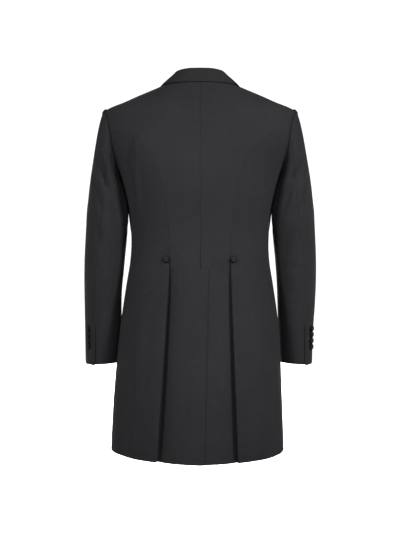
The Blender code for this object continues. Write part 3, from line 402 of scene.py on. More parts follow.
# %% The wall's inner points
def inner_grid(side, angle, drop, out):
    pace = speed(side * angle, drop)
    arc = np.cumsum(np.diff(angle, axis=1, prepend=angle[:, :1]) * pace, axis=1)
    run, rise = np.diff(arc, axis=1), np.diff(out, axis=1)
    length = np.maximum(np.hypot(run, rise), TINY)
    run, rise = run / length, rise / length
    before, after = (np.concatenate([v[:, :1], v], axis=1) for v in (run, rise))
    ahead, above = (np.concatenate([v, v[:, -1:]], axis=1) for v in (run, rise))
    along, up = before + ahead, after + above
    size = np.maximum(np.hypot(along, up), TINY)
    plain = np.ptp(out, axis=1, keepdims=True) < TINY
    reach = np.where(plain, WALL, WALL / np.maximum(size / 2, MITRE_LIMIT))
    along, up = np.where(plain, 1, along / size), np.where(plain, 0, up / size)
    return surface(side * (angle + up * reach / pace), drop, out - along * reach)


def grid_normals(points, closed=False):
    if closed:
        across = np.roll(points, -1, axis=1) - np.roll(points, 1, axis=1)
    else:
        across = np.gradient(points, axis=1)
    return unit(np.cross(across, np.gradient(points, axis=0)))


print("the wall is", WALL * MM, "mm thick")

# %% [markdown]
# ## The outline
# Not every panel is a full rectangle, as a pleat's underlay and the vent's flap only start below the waist.
# So each grid has a mask of its cells, and the outline is every edge of a cell that has no neighbour. The
# distance from it tells how near a point is to a seam.

# %% The edges of a grid
# A neighbour of a cell, as rows and columns away, and the two corners of the edge between them.
NEIGHBOURS = ((-1, 0, (0, 0), (0, 1)), (0, 1, (0, 1), (1, 1)),
              (1, 0, (1, 1), (1, 0)), (0, -1, (1, 0), (0, 0)))


def all_cells(points):
    return np.ones((points.shape[0] - 1, points.shape[1] - 1), bool)


def outline(cells):
    """Each edge of the panel as the grid places of its two ends and of the cell beside it."""
    rows, columns = cells.shape
    padded = np.pad(cells, 1)
    found = []
    for down, across, a, b in NEIGHBOURS:
        beside = padded[1 + down : rows + 1 + down, 1 + across : columns + 1 + across]
        i, j = np.nonzero(cells & ~beside)
        found.append(np.stack([i + a[0], j + a[1], i + b[0], j + b[1], i, j], axis=1))
    return np.concatenate(found)


def outward(points, edges):
    """At each place of the outline, the way out of the panel within its own surface."""
    ai, aj, bi, bj, ci, cj = edges.T
    a, b = points[ai, aj], points[bi, bj]
    middle = (points[ci, cj] + points[ci + 1, cj] + points[ci, cj + 1] + points[ci + 1, cj + 1]) / 4
    along = unit(b - a)
    away = a - middle
    away = unit(away - along * (away * along).sum(axis=1, keepdims=True))
    total = np.zeros_like(points)
    np.add.at(total, (ai, aj), away)
    np.add.at(total, (bi, bj), away)
    return unit(total)


def edge_distance(points, cells, but_row=None):
    """How far each point of the grid lies from the outline, leaving out edges along one row."""
    edges = outline(cells)
    if but_row is not None:
        edges = edges[(edges[:, 0] != but_row) | (edges[:, 2] != but_row)]
    places = sorted(set(zip(edges[:, 0], edges[:, 1])) | set(zip(edges[:, 2], edges[:, 3])))
    tree = KDTree(len(places))
    for k, (i, j) in enumerate(places):
        tree.insert(points[i, j], k)
    tree.balance()
    flat = points.reshape(-1, 3)
    found = np.array([tree.find(p)[2] for p in flat])
    return found.reshape(points.shape[:2])


print("edges round a single cell:", len(outline(np.ones((1, 1), bool))))

# %% [markdown]
# ## One panel
# Two grids and a rim make a closed wall. The rim bulges out in its middle, so an edge looks folded and not
# sawn off. One function does this for every panel, and also marks the pressed edges and the rims for the
# material, which darkens them: pressing near an edge, and painted shade in the seams between panels.

# %% The shell itself
SHARP = math.radians(58)
# The band of the marked edge: pressing, and painted shade in the seams between panels.
EDGE_PRESSED = 0.0016  # how far in from an edge the iron has pressed it
PRESSED_FLAT = 0.0014  # how much less a seam shows where it is pressed flat
made_pieces, grids = {}, {}


def grain_map(points, anchor_column):
    """Metres across and down the cloth, straight along one column and level along the last row."""
    across = np.cumsum(np.linalg.norm(np.diff(points, axis=1, prepend=points[:, :1]), axis=2), axis=1)
    down = np.cumsum(np.linalg.norm(np.diff(points, axis=0, prepend=points[:1]), axis=2), axis=0)
    return np.stack([across - across[:, [anchor_column]], down - down[-1:]], axis=-1)


def shell(name, outer, inner, cells, flip, distance, anchor_column=0):
    """A closed wall of cloth between two grids, with a rounded rim and a map along its grain."""
    grids[name] = outer
    edges = outline(cells)
    away = outward(outer, edges)
    outer, inner = outer - away * RIM_IN, inner - away * RIM_IN
    used = np.zeros(outer.shape[:2], bool)
    for i in (0, 1):
        for j in (0, 1):
            used[i : i + cells.shape[0], j : j + cells.shape[1]] |= cells
    number = np.cumsum(used).reshape(used.shape) - 1
    total = int(used.sum())
    rim = np.zeros(used.shape, bool)
    rim[edges[:, 0], edges[:, 1]] = True
    rim_number = np.cumsum(rim).reshape(rim.shape) - 1 + 2 * total
    middle = (outer + inner) / 2 + away * (RIM_IN + RIM_BULGE)
    points = np.concatenate([outer[used], inner[used], middle[rim]])
    grain = grain_map(outer, anchor_column)
    maps = np.concatenate([grain[used], grain[used], grain[rim]])
    i, j = np.nonzero(cells)
    quad = np.stack([number[i, j], number[i, j + 1], number[i + 1, j + 1], number[i + 1, j]], axis=1)
    a, b = number[edges[:, 0], edges[:, 1]], number[edges[:, 2], edges[:, 3]]
    rim_a, rim_b = rim_number[edges[:, 0], edges[:, 1]], rim_number[edges[:, 2], edges[:, 3]]
    upper = np.stack([b, a, rim_a, rim_b], axis=1)
    lower = np.stack([rim_b, rim_a, a + total, b + total], axis=1)
    faces = np.concatenate([quad, quad[:, ::-1] + total, upper, lower])
    if flip:
        faces = faces[:, ::-1]
    mesh = bpy.data.meshes.new(name)
    mesh.from_pydata(points.tolist(), [], faces.tolist())
    mesh.shade_smooth()
    mesh.set_sharp_from_angle(angle=SHARP)
    uv = mesh.uv_layers.new(name="grain")
    corners = np.zeros(len(mesh.loops), int)
    mesh.loops.foreach_get("vertex_index", corners)
    uv.data.foreach_set("uv", maps[corners].astype(np.float32).ravel())
    # The edge band and the whole rim are marked. The material darkens them, as pressing near an edge and as
    # painted shade in the seams.
    turned = np.exp(-((distance / EDGE_PRESSED) ** 2))
    turned = np.concatenate([turned[used], turned[used], np.ones(int(rim.sum()))])
    mesh.attributes.new("pressed_edge_and_painted_shade", "FLOAT", "POINT").data.foreach_set("value", turned.astype(np.float32))
    made_pieces[name] = in_scene(name, mesh)
    print(name, len(mesh.polygons), "faces")


def seam_sink(distance, drop):
    """The groove at a panel's edge, and the slight pucker that sewing leaves beside it."""
    drifts = (swing * np.sin(drop * waves) for swing, waves in PUCKER_DRIFTS)
    wave = np.sin(sum(drifts, drop * PUCKER_WAVES))
    groove = SEAM_SINK * np.exp(-((distance / SEAM_WIDTH) ** 2))
    return groove + PUCKER * wave * np.exp(-(((distance - PUCKER_AT) / PUCKER_AT) ** 2))


def body_shell(kind, side, angle, drop, out, anchor_column, cells=None, pleated=None):
    """A panel on the body, sunk along its seams, less so where they are pressed flat."""
    cells = all_cells(angle) if cells is None else cells
    but_row, flat = None, 0.0
    if pleated is not None:
        but_row, flat = int(np.argmax(pleated)), flat_seam(side, angle, drop)
    distance = edge_distance(surface(side * angle, drop, out), cells, but_row) + PRESSED_FLAT * flat
    outer = surface(side * angle, drop, out - seam_sink(distance, drop))
    inner = inner_grid(side, angle, drop, out)
    shell(f"cloth_{kind}_{SIDES[side]}", outer, inner, cells, side < 0, distance, anchor_column)


print("a seam sinks by", SEAM_SINK * MM, "mm")

# %% [markdown]
# ## The lines where panels meet
# The back seam runs from the armhole in a curve to the waist button, and becomes the fold of the pleat
# below. The side seam lies under the arm. Both panels at a seam ask for the same line.

# %% Rows of the panels
SHOULDER_SAMPLES, ARMHOLE_SAMPLES = 400, 300
PLEAT_DRIFT = {1: 0.0085, -1: -0.0045}  # how far each pleat's edge wanders out by the hem
FLAT_BESIDE, FLAT_FROM, FLAT_OVER = 0.02, 0.004, 0.008  # where the back seam is pressed flat


def below_top(nominal):
    """Whether a row lies at the pleats' top or below it."""
    return nominal >= PLEAT_TOP - TINY


def back_seam_angle(nominal, side):
    start, drop = armhole(BACK_SEAM_AT)
    first = BACK_SEAM[0]
    across = smooth(BACK_SEAM, nominal) + part_way((0, PLEAT_DRIFT[side]), nominal, PLEAT_TOP)
    at_arm = ring(start, drop)[0]
    before = at_arm + (first[1] - at_arm) * (nominal - drop) / (first[0] - drop)
    return angle_at(np.where(nominal < first[0], before, across), nominal, BACK)


def flat_seam(side, angle, drop):
    """One along the back seam below the armhole, fading to none beside it."""
    away = np.abs(angle - back_seam_angle(drop, side)) * math.degrees(METRES_PER_DEGREE)
    return np.exp(-((away / FLAT_BESIDE) ** 2)) * ease((drop - START_DROP + FLAT_FROM) / FLAT_OVER)


def side_seam_drop(nominal):
    top, start = armhole(SIDE_SEAM_AT)[1], armhole(BACK_SEAM_AT)[1]
    share = np.clip((nominal - start) / (WAIST_DROP - start), 0, 1)
    return level(nominal, SIDE_SEAM_ANGLE) + (top - start) * (1 - share)


def shoulder_rows():
    """Drops down the shoulder seam, evenly along its slope."""
    drops = np.linspace(NECK_DROP, SHOULDER_DROP, SHOULDER_SAMPLES)
    shares = along_curve(ring(np.pi / 2, drops))
    return np.interp(shares, np.linspace(0, 1, len(drops)), drops)[:-1]


def seam_rows(end):
    """Drops down the back seam, with one row exactly where the pleat starts."""
    above = START_DROP + (PLEAT_TOP - START_DROP) * graded(PLEAT_TOP - START_DROP)
    below = PLEAT_TOP + (end - PLEAT_TOP) * graded(end - PLEAT_TOP)
    return np.concatenate([above, below[1:]])


def armhole_rows(start, end):
    turns = np.linspace(start, end, ARMHOLE_SAMPLES)
    angle, drop = armhole(turns)
    return np.interp(along_curve(ring(angle, drop)), np.linspace(0, 1, len(turns)), turns)


START_ANGLE, START_DROP = (float(v) for v in armhole(BACK_SEAM_AT))
print("rows down the back:", len(shoulder_rows()) + len(seam_rows(HEM_DROP)))

# %% [markdown]
# ## The centre back
# Two panels meet in the centre-back seam. Below the waist the seam opens: the wearer's left half carries a
# flap that laps over the right half, and each panel's other edge runs on under the side skirt as the
# pleat's underlay. Both are extra columns of the same grid, so the cloth is one piece, as it is cut.

# %% The centre back
# Station, foot's angle and drop, the fold's place across, back and up, leaf's angle and drop.
COLLAR = np.array((
    (0, 0, 12, 0, 59.5, 19.7, 0, 16.5), (1, 27, 11.7, 30, 54.8, 19.3, 34.4, 17),
    (2, 50.5, 11, 53.5, 37, 16.5, 59.8, 18.2), (3, 69, 10.3, 64.5, 16, 11.5, 75.7, 19.2),
    (4, 90, 10, 69, -6, 6, 90, 19.2), (5, 118, 18, 67.2, -30, -2, 109.1, 27),
    (6, 130, 33, 64, -55, -18, 120.5, 42), (7, 144, 55, 59, -81, -42, 126.7, 58),
    (8, 152, 75, 53.5, -107.5, -72, 129, 73),
), float) / (1, 1, MM, MM, MM, MM, 1, MM)
SHOULDER_STATION = 4
NECK_FADE = 0.05
VENT_FROM = 0.345  # where the right half starts to sink under the left one's flap
HOLLOW, HOLLOW_POWER = {1: 0.0220, -1: 0.0150}, 5  # the pleat's dark hollow beside the fold, left and right
HOLLOW_CLOSES = 0.6  # how much of the hollow is lost again by the hem
BACK_WIDTH, FINE_STEP = 0.150, 0.003
FLAP = graded(0.020, True, False, FINE_STEP)
UNDERLAY = graded(0.030, False, True, FINE_STEP)[1:]
CENTRE_BACK = len(FLAP) - 1  # the column of the centre-back seam


def opening(nominal):
    """The pleats open from the waist to their top."""
    return np.clip((nominal - WAIST_DROP) / (PLEAT_TOP - WAIST_DROP), 0, 1)


def back_panel(side):
    arm_angle, arm_drop = armhole(armhole_rows(360, BACK_SEAM_AT))
    shoulder, seam = shoulder_rows(), seam_rows(HEM_DROP)[1:]
    nominal = np.concatenate([shoulder, arm_drop, seam])[:, None]
    edge = (np.full(len(shoulder), np.pi / 2), arm_angle, back_seam_angle(seam, side))
    edge = np.concatenate(edge)[:, None]
    shares = graded(BACK_WIDTH)
    curve = COLLAR[: SHOULDER_STATION + 1]
    neck = np.interp(shares * 90, curve[:, 1], curve[:, 2]) - NECK_DROP
    fade = np.maximum(0, 1 - (nominal - NECK_DROP) / NECK_FADE)
    # The flap beyond the centre back, the panel, and the underlay beyond the back seam.
    lap = part_way(VENT_LAP, nominal, PLEAT_TOP) if side > 0 else np.full_like(nominal, VENT_UNDERLAP)
    before = -lap / speed(np.zeros(1), nominal[:, 0])[:, None] * (1 - FLAP[:CENTRE_BACK])
    after = edge + part_way(PLEAT_DEPTH, nominal, PLEAT_TOP) / speed(edge, nominal) * UNDERLAY
    angle = np.concatenate([before, edge * shares, after], axis=1)
    sink = part_way(BACK_RECESS, nominal, PLEAT_TOP) * opening(nominal)
    down = part_way((0, 1), nominal, PLEAT_TOP)
    hollow = HOLLOW[side] * np.sqrt(down) * (1 - HOLLOW_CLOSES * down)
    middle = -sink * shares**2 - hollow * shares**HOLLOW_POWER
    out = np.concatenate([-sink * (before / edge) ** 2, middle, -sink - hollow + 0 * after], axis=1)
    drop = np.concatenate([nominal + 0 * before, nominal + neck * fade, nominal + 0 * after], axis=1)
    if side < 0:
        held = 1 - ease((angle / edge - VENT_FLAT) / (1 - VENT_FLAT))
        out = out - VENT_LAYER * held * ease((nominal - VENT_FROM) / (PLEAT_TOP - VENT_FROM))
    drop = level(drop, angle)
    vent, panel = below_top(nominal[:, 0]), np.ones(len(nominal), bool)
    columns = [vent] * before.shape[1] + [panel] * (len(shares) - 1) + [vent] * after.shape[1]
    cells = np.stack(columns, axis=1)
    body_shell("back", side, angle, drop, out, CENTRE_BACK, cells[:-1] & cells[1:], vent)


for side in SIDES:
    back_panel(side)

# %% [markdown]
# ## The side bodies and their pleats
# The side body starts in a point under the back of the armhole and runs down into the side skirt. At its
# back edge the skirt folds under on itself in a soft round bend, which stands on the centre back and throws
# the dark wedge of shadow of the real pleat. The bend is worked out as an arc, so it stays as thick as the
# cloth.

# %% The side body
UNDER_SHARES = (1.0, 0.97, 0.8, 0.6, 0.4, 0.2, 0.0)
PLEAT_TURNS = np.radians(np.linspace(262, 98, 8))
FOLD_TIP = len(UNDER_SHARES) + len(PLEAT_TURNS) // 2
FLAT_STEP = 0.0005
SIDE_FROM = 0.03  # the share of the panel's width that the fold's own columns take up


def pleat_path(nominal):
    """Steps round the body and outwards, from the underlay's edge by the fold to the outer layer."""
    radius, depth = part_way(FOLD_RADIUS, nominal, PLEAT_TOP), part_way(PLEAT_DEPTH, nominal, PLEAT_TOP)
    under = [(radius + (depth - radius) * s, -2 * radius) for s in UNDER_SHARES]
    bend = [(radius + radius * math.cos(t), -radius + radius * math.sin(t)) for t in PLEAT_TURNS]
    return under + bend + [(radius, 0.0)]


def side_body(side):
    top = armhole_rows(BACK_SEAM_AT, SIDE_SEAM_AT)
    top_angle, top_drop = armhole(top)
    shares = (BACK_SEAM_AT - top) / (BACK_SEAM_AT - SIDE_SEAM_AT)
    keep = shares > SIDE_FROM
    chord_angle = top_angle[0] + (top_angle[-1] - top_angle[0]) * shares
    chord_drop = top_drop[0] + (top_drop[-1] - top_drop[0]) * shares
    rows = seam_rows(HEM_DROP)
    angle, drop, out, cells = [], [], [], []
    for nominal in rows:
        left = START_ANGLE if nominal <= START_DROP else float(back_seam_angle(nominal, side))
        right_drop = float(side_seam_drop(nominal))
        fade = max(0.0, 1 - (nominal - START_DROP) / (WAIST_DROP - START_DROP)) ** ARMHOLE_FADE
        straight = left + (SIDE_SEAM_ANGLE - left) * shares
        line_angle = straight + fade * (top_angle - chord_angle)
        line_drop = nominal + (right_drop - nominal) * shares + fade * (top_drop - chord_drop)
        if nominal > HEM_LEVEL_FROM:
            line_drop = level(nominal, line_angle)
        # The fold grows out of the flat seam.
        folded = np.array(pleat_path(nominal))
        flat = np.array([(FLAT_STEP * (k - FOLD_TIP), 0.0) for k in range(len(folded))])
        steps, heights = (flat + (folded - flat) * float(opening(nominal))).T
        pace = float(speed(np.array(left), np.array(nominal)))
        along = np.concatenate([steps / (pace * (line_angle[-1] - left)), shares[keep]])
        full = np.interp(along, shares, line_angle)
        angle.append(np.where(along < 0, left + along * (line_angle[-1] - left), full))
        drop.append(np.interp(along, shares, line_drop))
        out.append(np.append(heights, np.zeros(keep.sum())))
        cells.append([below_top(nominal)] * FOLD_TIP + [True] * (len(full) - 1 - FOLD_TIP))
    angle, drop, out, cells = (np.array(values) for values in (angle, drop, out, cells))
    body_shell("side_body", side, angle, drop, out, -1, cells[:-1] & cells[1:], below_top(rows))


for side in SIDES:
    side_body(side)

# %% [markdown]
# ## The fronts
# The fronts lap left over right by two fingers' width and fasten with two buttons. The right one therefore
# sinks a little where the left one covers it. Above the top button each front ends at the roll line,
# because there the cloth turns back as the lapel.

# %% The fronts
FRONT_WIDTH, SAME_DROP = 0.240, 1e-5


def front_under(angle, drop, side):
    if side > 0:
        return np.zeros(np.broadcast(angle, drop).shape)
    beside = ease((np.degrees(angle) - UNDER_FROM_ANGLE[0]) / (UNDER_FROM_ANGLE[1] - UNDER_FROM_ANGLE[0]))
    below = ease((drop - UNDER_FROM_DROP[0]) / (UNDER_FROM_DROP[1] - UNDER_FROM_DROP[0]))
    return -UNDER_FRONT * beside * below


def front_rows():
    """Each row's outer end, down the shoulder seam, the armhole and the side seam."""
    shoulder = np.maximum(shoulder_rows(), NECK_DROP + LAYER_GAP)
    arm_angle, arm_drop = armhole(armhole_rows(0, SIDE_SEAM_AT))
    seam = side_seam_drop(seam_rows(HEM_DROP)[1:])
    angles = (np.full(len(shoulder), np.pi / 2), arm_angle, np.full(len(seam), SIDE_SEAM_ANGLE))
    angles = np.concatenate(angles)
    drops = np.concatenate([shoulder, arm_drop, seam])
    keep = np.concatenate([[True], np.diff(drops) > SAME_DROP])
    return angles[keep], drops[keep]


def front_panel(side):
    outer_angle, nominal = front_rows()
    scale = (HEM_DROP - HEM_LEVEL_FROM) / (level(HEM_DROP, SIDE_SEAM_ANGLE) - HEM_LEVEL_FROM)
    nominal = np.where(nominal > HEM_LEVEL_FROM, HEM_LEVEL_FROM + (nominal - HEM_LEVEL_FROM) * scale, nominal)
    # The front's own edge is the neckline, the roll line and the lap.
    edge = front_angle(smooth(FRONT_EDGE, nominal), nominal)
    angle = outer_angle[:, None] + (edge - outer_angle)[:, None] * graded(FRONT_WIDTH)
    drop = level(nominal[:, None] + 0 * angle, angle)
    body_shell("front", side, angle, drop, front_under(angle, drop, side), -1)


for side in SIDES:
    front_panel(side)

# %% [markdown]
# ## The lapels
# A lapel is the front's facing, turned back on itself. It lies on the chest at its outer edge and rises
# towards the roll line, where it bends round the front's edge. A real one isn't pressed flat there, and the
# soft roll is what makes a lapel look alive. Its peak points up and out beyond the collar's end.

# %% The lapels
# Drop, place across.
LAPEL = np.array((
    (78, 142), (110, 137), (160, 121.5), (220, 96), (290, 60), (350, 24), (385, 3), (402, -9),
), float) / MM
NOTCH, COLLAR_TIP = (0.097, 0.0965), (0.1100, 0.0735)
LAPEL_LIE, LAPEL_ROLL, ROLL_FOOT, ROLL_SIDE = 0.0034, 0.0046, -0.0014, 0.0060
WIDE_LAPEL, LAPEL_CALM, ROLL_EASES = 0.060, 0.070, 0.4
LAPEL_WIDTH, NOTCH_COLUMN, INNER_COLUMNS = 0.044, 0.5, 16
LAPEL_WRAP = ((0.0, 1.0), (0.0007, 0.97), (0.0014, 0.88), (0.0019, 0.8), (0.0024, 0.6), (0.00265, 0.35),
              (0.00265, 0.15), (0.00265, 0.0))


def roll_profile(share):
    return share**2 * (1 - ROLL_EASES * share)


def lapel_row(side, roll_drop, columns, top_roll):
    """Angles, drops and heights of one row, from the outer edge to the wrap round the front's edge."""
    v = (roll_drop - top_roll) / (BREAK_DROP - top_roll)
    outer_drop = LAPEL[0][0] + (LAPEL[-1][0] - LAPEL[0][0]) * v
    roll_x = float(smooth(FRONT_EDGE, roll_drop))
    outer_x = float(smooth(LAPEL, outer_drop))
    width = outer_x - roll_x
    shares = columns * (width - ROLL_SIDE) / width
    xs = outer_x - width * shares
    ds = outer_drop + (roll_drop - outer_drop) * shares
    bend = (1 - v) ** 3
    notch_share = float(np.interp(NOTCH_COLUMN, columns, shares))
    on_line = (LAPEL[0][1] + FRONT_EDGE[4][1]) / 2, (LAPEL[0][0] + top_roll) / 2
    peak = np.where(shares < notch_share, shares / notch_share, (1 - shares) / (1 - notch_share))
    xs = xs + bend * peak * (NOTCH[0] - on_line[0])
    ds = ds + bend * peak * (NOTCH[1] + LAYER_GAP - on_line[1])
    roll_angle = float(front_angle(roll_x, roll_drop))
    pace = float(speed(np.array(roll_angle), np.array(roll_drop)))
    free = 1.0 if side > 0 else 1 - float(ease((roll_drop - UNDER_FROM_DROP[0]) / LAPEL_CALM))
    lie = LAYER + (LAPEL_LIE - LAYER) * free
    height = lie + LAPEL_ROLL * free * float(ease(width / WIDE_LAPEL)) * roll_profile(shares)
    wrapped = [roll_angle + step / pace for step, share in LAPEL_WRAP]
    lift = [ROLL_FOOT + (float(height[-1]) - ROLL_FOOT) * share for step, share in LAPEL_WRAP]
    full = np.concatenate([front_angle(xs, ds), wrapped])
    full_drop = np.concatenate([ds, [roll_drop] * len(LAPEL_WRAP)])
    return full, full_drop, np.concatenate([height, lift]) + front_under(full, full_drop, side)


def lapel(side):
    top_roll = GORGE_DROP + LAYER_GAP
    drops = top_roll + (BREAK_DROP - top_roll) * graded(BREAK_DROP - top_roll)
    # The columns before the notch are spaced for the edge, those after it evenly.
    outer = graded(LAPEL_WIDTH, True, False, FINE_STEP) * NOTCH_COLUMN
    columns = np.concatenate([outer, np.linspace(NOTCH_COLUMN, 1, INNER_COLUMNS)[1:]])
    rows = [lapel_row(side, d, columns, top_roll) for d in drops]
    angle, drop, out = (np.array([row[k] for row in rows]) for k in range(3))
    body_shell("lapel", side, angle, drop, out, 0)


for side in SIDES:
    lapel(side)

# %% [markdown]
# ## The collar
# The stand rises round the neck, and the leaf folds over it and falls on the back and shoulders. From
# behind, the leaf is all that shows. It is made along stations from the centre back to the gorge, where it
# meets the lapel, and its fold is a small arc over the stand's top.

# %% The collar
STAND_END, CREST_RADIUS, CREST_START = 7.3, 0.0032, math.radians(105)
LEAF_EASE, LEAF_RISE, LYING_FROM, LYING_OVER = (0.008, 0.012, 0.0012), 0.0012, 4.5, 2.2
STAND_TOP = (0.0034, 0.0030)
GORGE_GAP, GORGE_TURN = 0.0010, 0.7
CREST_ROWS = np.linspace(0, 1, 7)
LEAF_WIDTH, STAND_HEIGHT = 0.040, 0.03
LEAF_ROWS = graded(LEAF_WIDTH, False, True, FINE_STEP)[1:]
GORGE_WRAP = ((0.0, -0.0030, 0.0030), (0.5, -0.0024, 0.0054), (1.0, 0.0010, 0.0074))
MIRROR = np.array([-1, 1, 1])
NECK_LENGTH, LEAF_END, COLLAR_END, SWING_FROM = 0.30, 7.95, 8.0, 7.0
NOTCH_ROW = 0.78  # the share of the leaf's rows above the notch


def fold_frame(line):
    along = np.gradient(line, axis=0)
    along[0] = (1, 0, 0)
    along = unit(along)
    inward = unit(np.cross(along, [0, 0, 1]))
    return inward, np.cross(inward, along)


def full_round(half):
    return np.concatenate([(half[::-1] * MIRROR)[:-1], half])


def collar_lines(stations):
    """The foot, the fold and the leaf's edge at each station, and how the leaf lies on the cloth."""
    foot_angle, _, *fold, leaf_angle, leaf_drop = (smooth(COLLAR, stations, k) for k in range(1, 8))
    drop = np.interp(stations, COLLAR[:, 0], COLLAR[:, 2])
    at_edge = front_angle(smooth(FRONT_EDGE, drop), drop)
    angle = np.where(stations <= SHOULDER_STATION, np.radians(foot_angle), at_edge)
    foot, fold_line = surface(angle, drop, 0.0), np.stack(fold, axis=1)
    leaf_angle = np.radians(leaf_angle)
    lie = LAPEL_LIE + LEAF_RISE * ease((stations - LYING_FROM) / LYING_OVER)
    leaf = surface(leaf_angle, leaf_drop, lie)
    normal = (leaf - surface(leaf_angle, leaf_drop, 0.0)) / lie[:, None]
    height = np.linalg.norm(fold_line - foot, axis=1) - lie
    return foot, fold_line, leaf, normal, (angle, drop, leaf_angle, leaf_drop, lie, height)


print("rows down the leaf:", len(CREST_ROWS) + len(LEAF_ROWS))

# %% [markdown]
# ## The gorge
# The gorge is the seam where the collar meets the lapel, and the two step apart at the notch. The leaf's
# last column of points follows the lapel's edge there, so that no gap opens between them.

# %% The gorge
def gorge_column(deeper):
    """The leaf's last column: down the gorge to the notch, and from there to the collar's tip."""
    roll_x = float(smooth(FRONT_EDGE, GORGE_DROP))
    wrap = np.array(GORGE_WRAP)
    drop = GORGE_DROP - GORGE_GAP
    points = []
    for share in CREST_ROWS:
        beyond, out = np.interp(share, wrap[:, 0], wrap[:, 1]), np.interp(share, wrap[:, 0], wrap[:, 2])
        points.append(surface(front_angle(roll_x + beyond + deeper * GORGE_TURN, drop), drop, out - deeper))
    corner = int(NOTCH_ROW * len(LEAF_ROWS))
    for v in LEAF_ROWS[:corner]:
        share = v / LEAF_ROWS[corner - 1]
        across = roll_x + (NOTCH[0] - roll_x) * share
        at = GORGE_DROP + (NOTCH[1] - GORGE_DROP) * share - GORGE_GAP
        out = LAPEL_LIE + LEAF_RISE + LAPEL_ROLL * roll_profile(1 - share / 2)
        points.append(surface(front_angle(across, at), at, out - deeper))
    for v in LEAF_ROWS[corner:]:
        share = (v - LEAF_ROWS[corner - 1]) / (LEAF_ROWS[-1] - LEAF_ROWS[corner - 1])
        across = NOTCH[0] + (COLLAR_TIP[0] - NOTCH[0]) * share
        at = NOTCH[1] - GORGE_GAP + (COLLAR_TIP[1] - NOTCH[1] + GORGE_GAP) * share
        out = LAPEL_LIE + LEAF_RISE + LAPEL_ROLL * roll_profile(0.5) * (1 - share)
        points.append(surface(front_angle(across, at), at, out - deeper))
    return np.array(points)


print("points down the gorge:", len(gorge_column(0.0)))

# %% [markdown]
# ## The stand
# The stand is a narrow band sewn upright into the neck. It is a grid between the neck's line and the fold.
# Only one half is worked out and then mirrored, because the neck is the same on both sides.

# %% The stand
def collar_stations(end):
    return np.concatenate([[0.0], end * graded(NECK_LENGTH, False, True)[1:]])


def collar_stand():
    foot, fold_line = collar_lines(collar_stations(STAND_END))[:2]
    inward, up = fold_frame(fold_line)
    top = fold_line + inward * STAND_TOP[0] - up * STAND_TOP[1]
    low = foot + (inward + up) * LAYER_GAP
    points = np.array([full_round(low + (top - low) * v) for v in graded(STAND_HEIGHT)[::-1]])
    cells = all_cells(points)
    inner = points - grid_normals(points) * WALL
    shell("cloth_collar_stand", points, inner, cells, False, edge_distance(points, cells))


collar_stand()

# %% [markdown]
# ## The leaf
# The leaf turns over the stand in a small arc. Behind, it hangs in a free curve down to its edge, and in
# front it lies on the cloth. The two shapes are blended along the stations.

# %% The leaf
def collar_leaf():
    stations = np.append(collar_stations(LEAF_END), COLLAR_END)
    _, fold_line, leaf, normal, places = collar_lines(stations)
    foot_angle, foot_drop, leaf_angle, leaf_drop, lie, height = places
    inward, up = fold_frame(fold_line)
    centre = fold_line + (inward - up) * CREST_RADIUS
    fall = unit(leaf - fold_line)
    steepness = np.arctan2(-(fall * up).sum(axis=1), -(fall * inward).sum(axis=1))
    rows = []
    for share in CREST_ROWS:
        turn = (CREST_START + (np.pi / 2 - steepness - CREST_START) * share)[:, None]
        rows.append(centre + (up * np.sin(turn) - inward * np.cos(turn)) * CREST_RADIUS)
    start = rows[-1]
    near = start + fall * LEAF_EASE[0]
    far = leaf - fall * LEAF_EASE[1] + normal * LEAF_EASE[2]
    lying = ease((stations - LYING_FROM) / LYING_OVER)[:, None]
    for v in LEAF_ROWS:
        falling = start * (1 - v) ** 3 + near * 3 * v * (1 - v) ** 2 + far * 3 * v * v * (1 - v) + leaf * v**3
        along_angle = foot_angle + (leaf_angle - foot_angle) * v
        along_drop = foot_drop + (leaf_drop - foot_drop) * v
        on_cloth = surface(along_angle, along_drop, lie + height * (1 - v) ** 2)
        rows.append(falling * (1 - lying) + on_cloth * lying)
    half = np.array(rows)
    # The last columns swing from the straight end into the gorge and the notch.
    gorge, deep = gorge_column(0.0), gorge_column(WALL)
    swing = np.clip((stations - SWING_FROM) / (COLLAR_END - SWING_FROM), 0, 1) ** 2
    half = half + (gorge - half[:, -1])[:, None, :] * swing[None, :, None]
    points = np.array([full_round(row) for row in half])
    inner = points - grid_normals(points) * WALL
    inner[:, -1], inner[:, 0] = deep, deep * MIRROR
    cells = all_cells(points)
    distance = edge_distance(points, cells)
    sunk = 0.5 * SEAM_SINK * np.exp(-((distance / SEAM_WIDTH) ** 2))
    outer = points - grid_normals(points) * sunk[..., None]
    shell("cloth_collar_leaf", outer, inner, cells, False, distance, points.shape[1] // 2)


collar_leaf()
# %% [markdown]
# ## The sleeves
# A coat sleeve has two parts, a wide top sleeve and a narrow under sleeve, sewn at the front and at the
# back. The head is longer than the armhole and eased into it, so it stands out there as a small rope of
# cloth. The sleeve is a curve from the armhole's egg to a turned ellipse at the cuff. The arm pulls
# slanting folds into the cloth behind it, and they are different on each side.

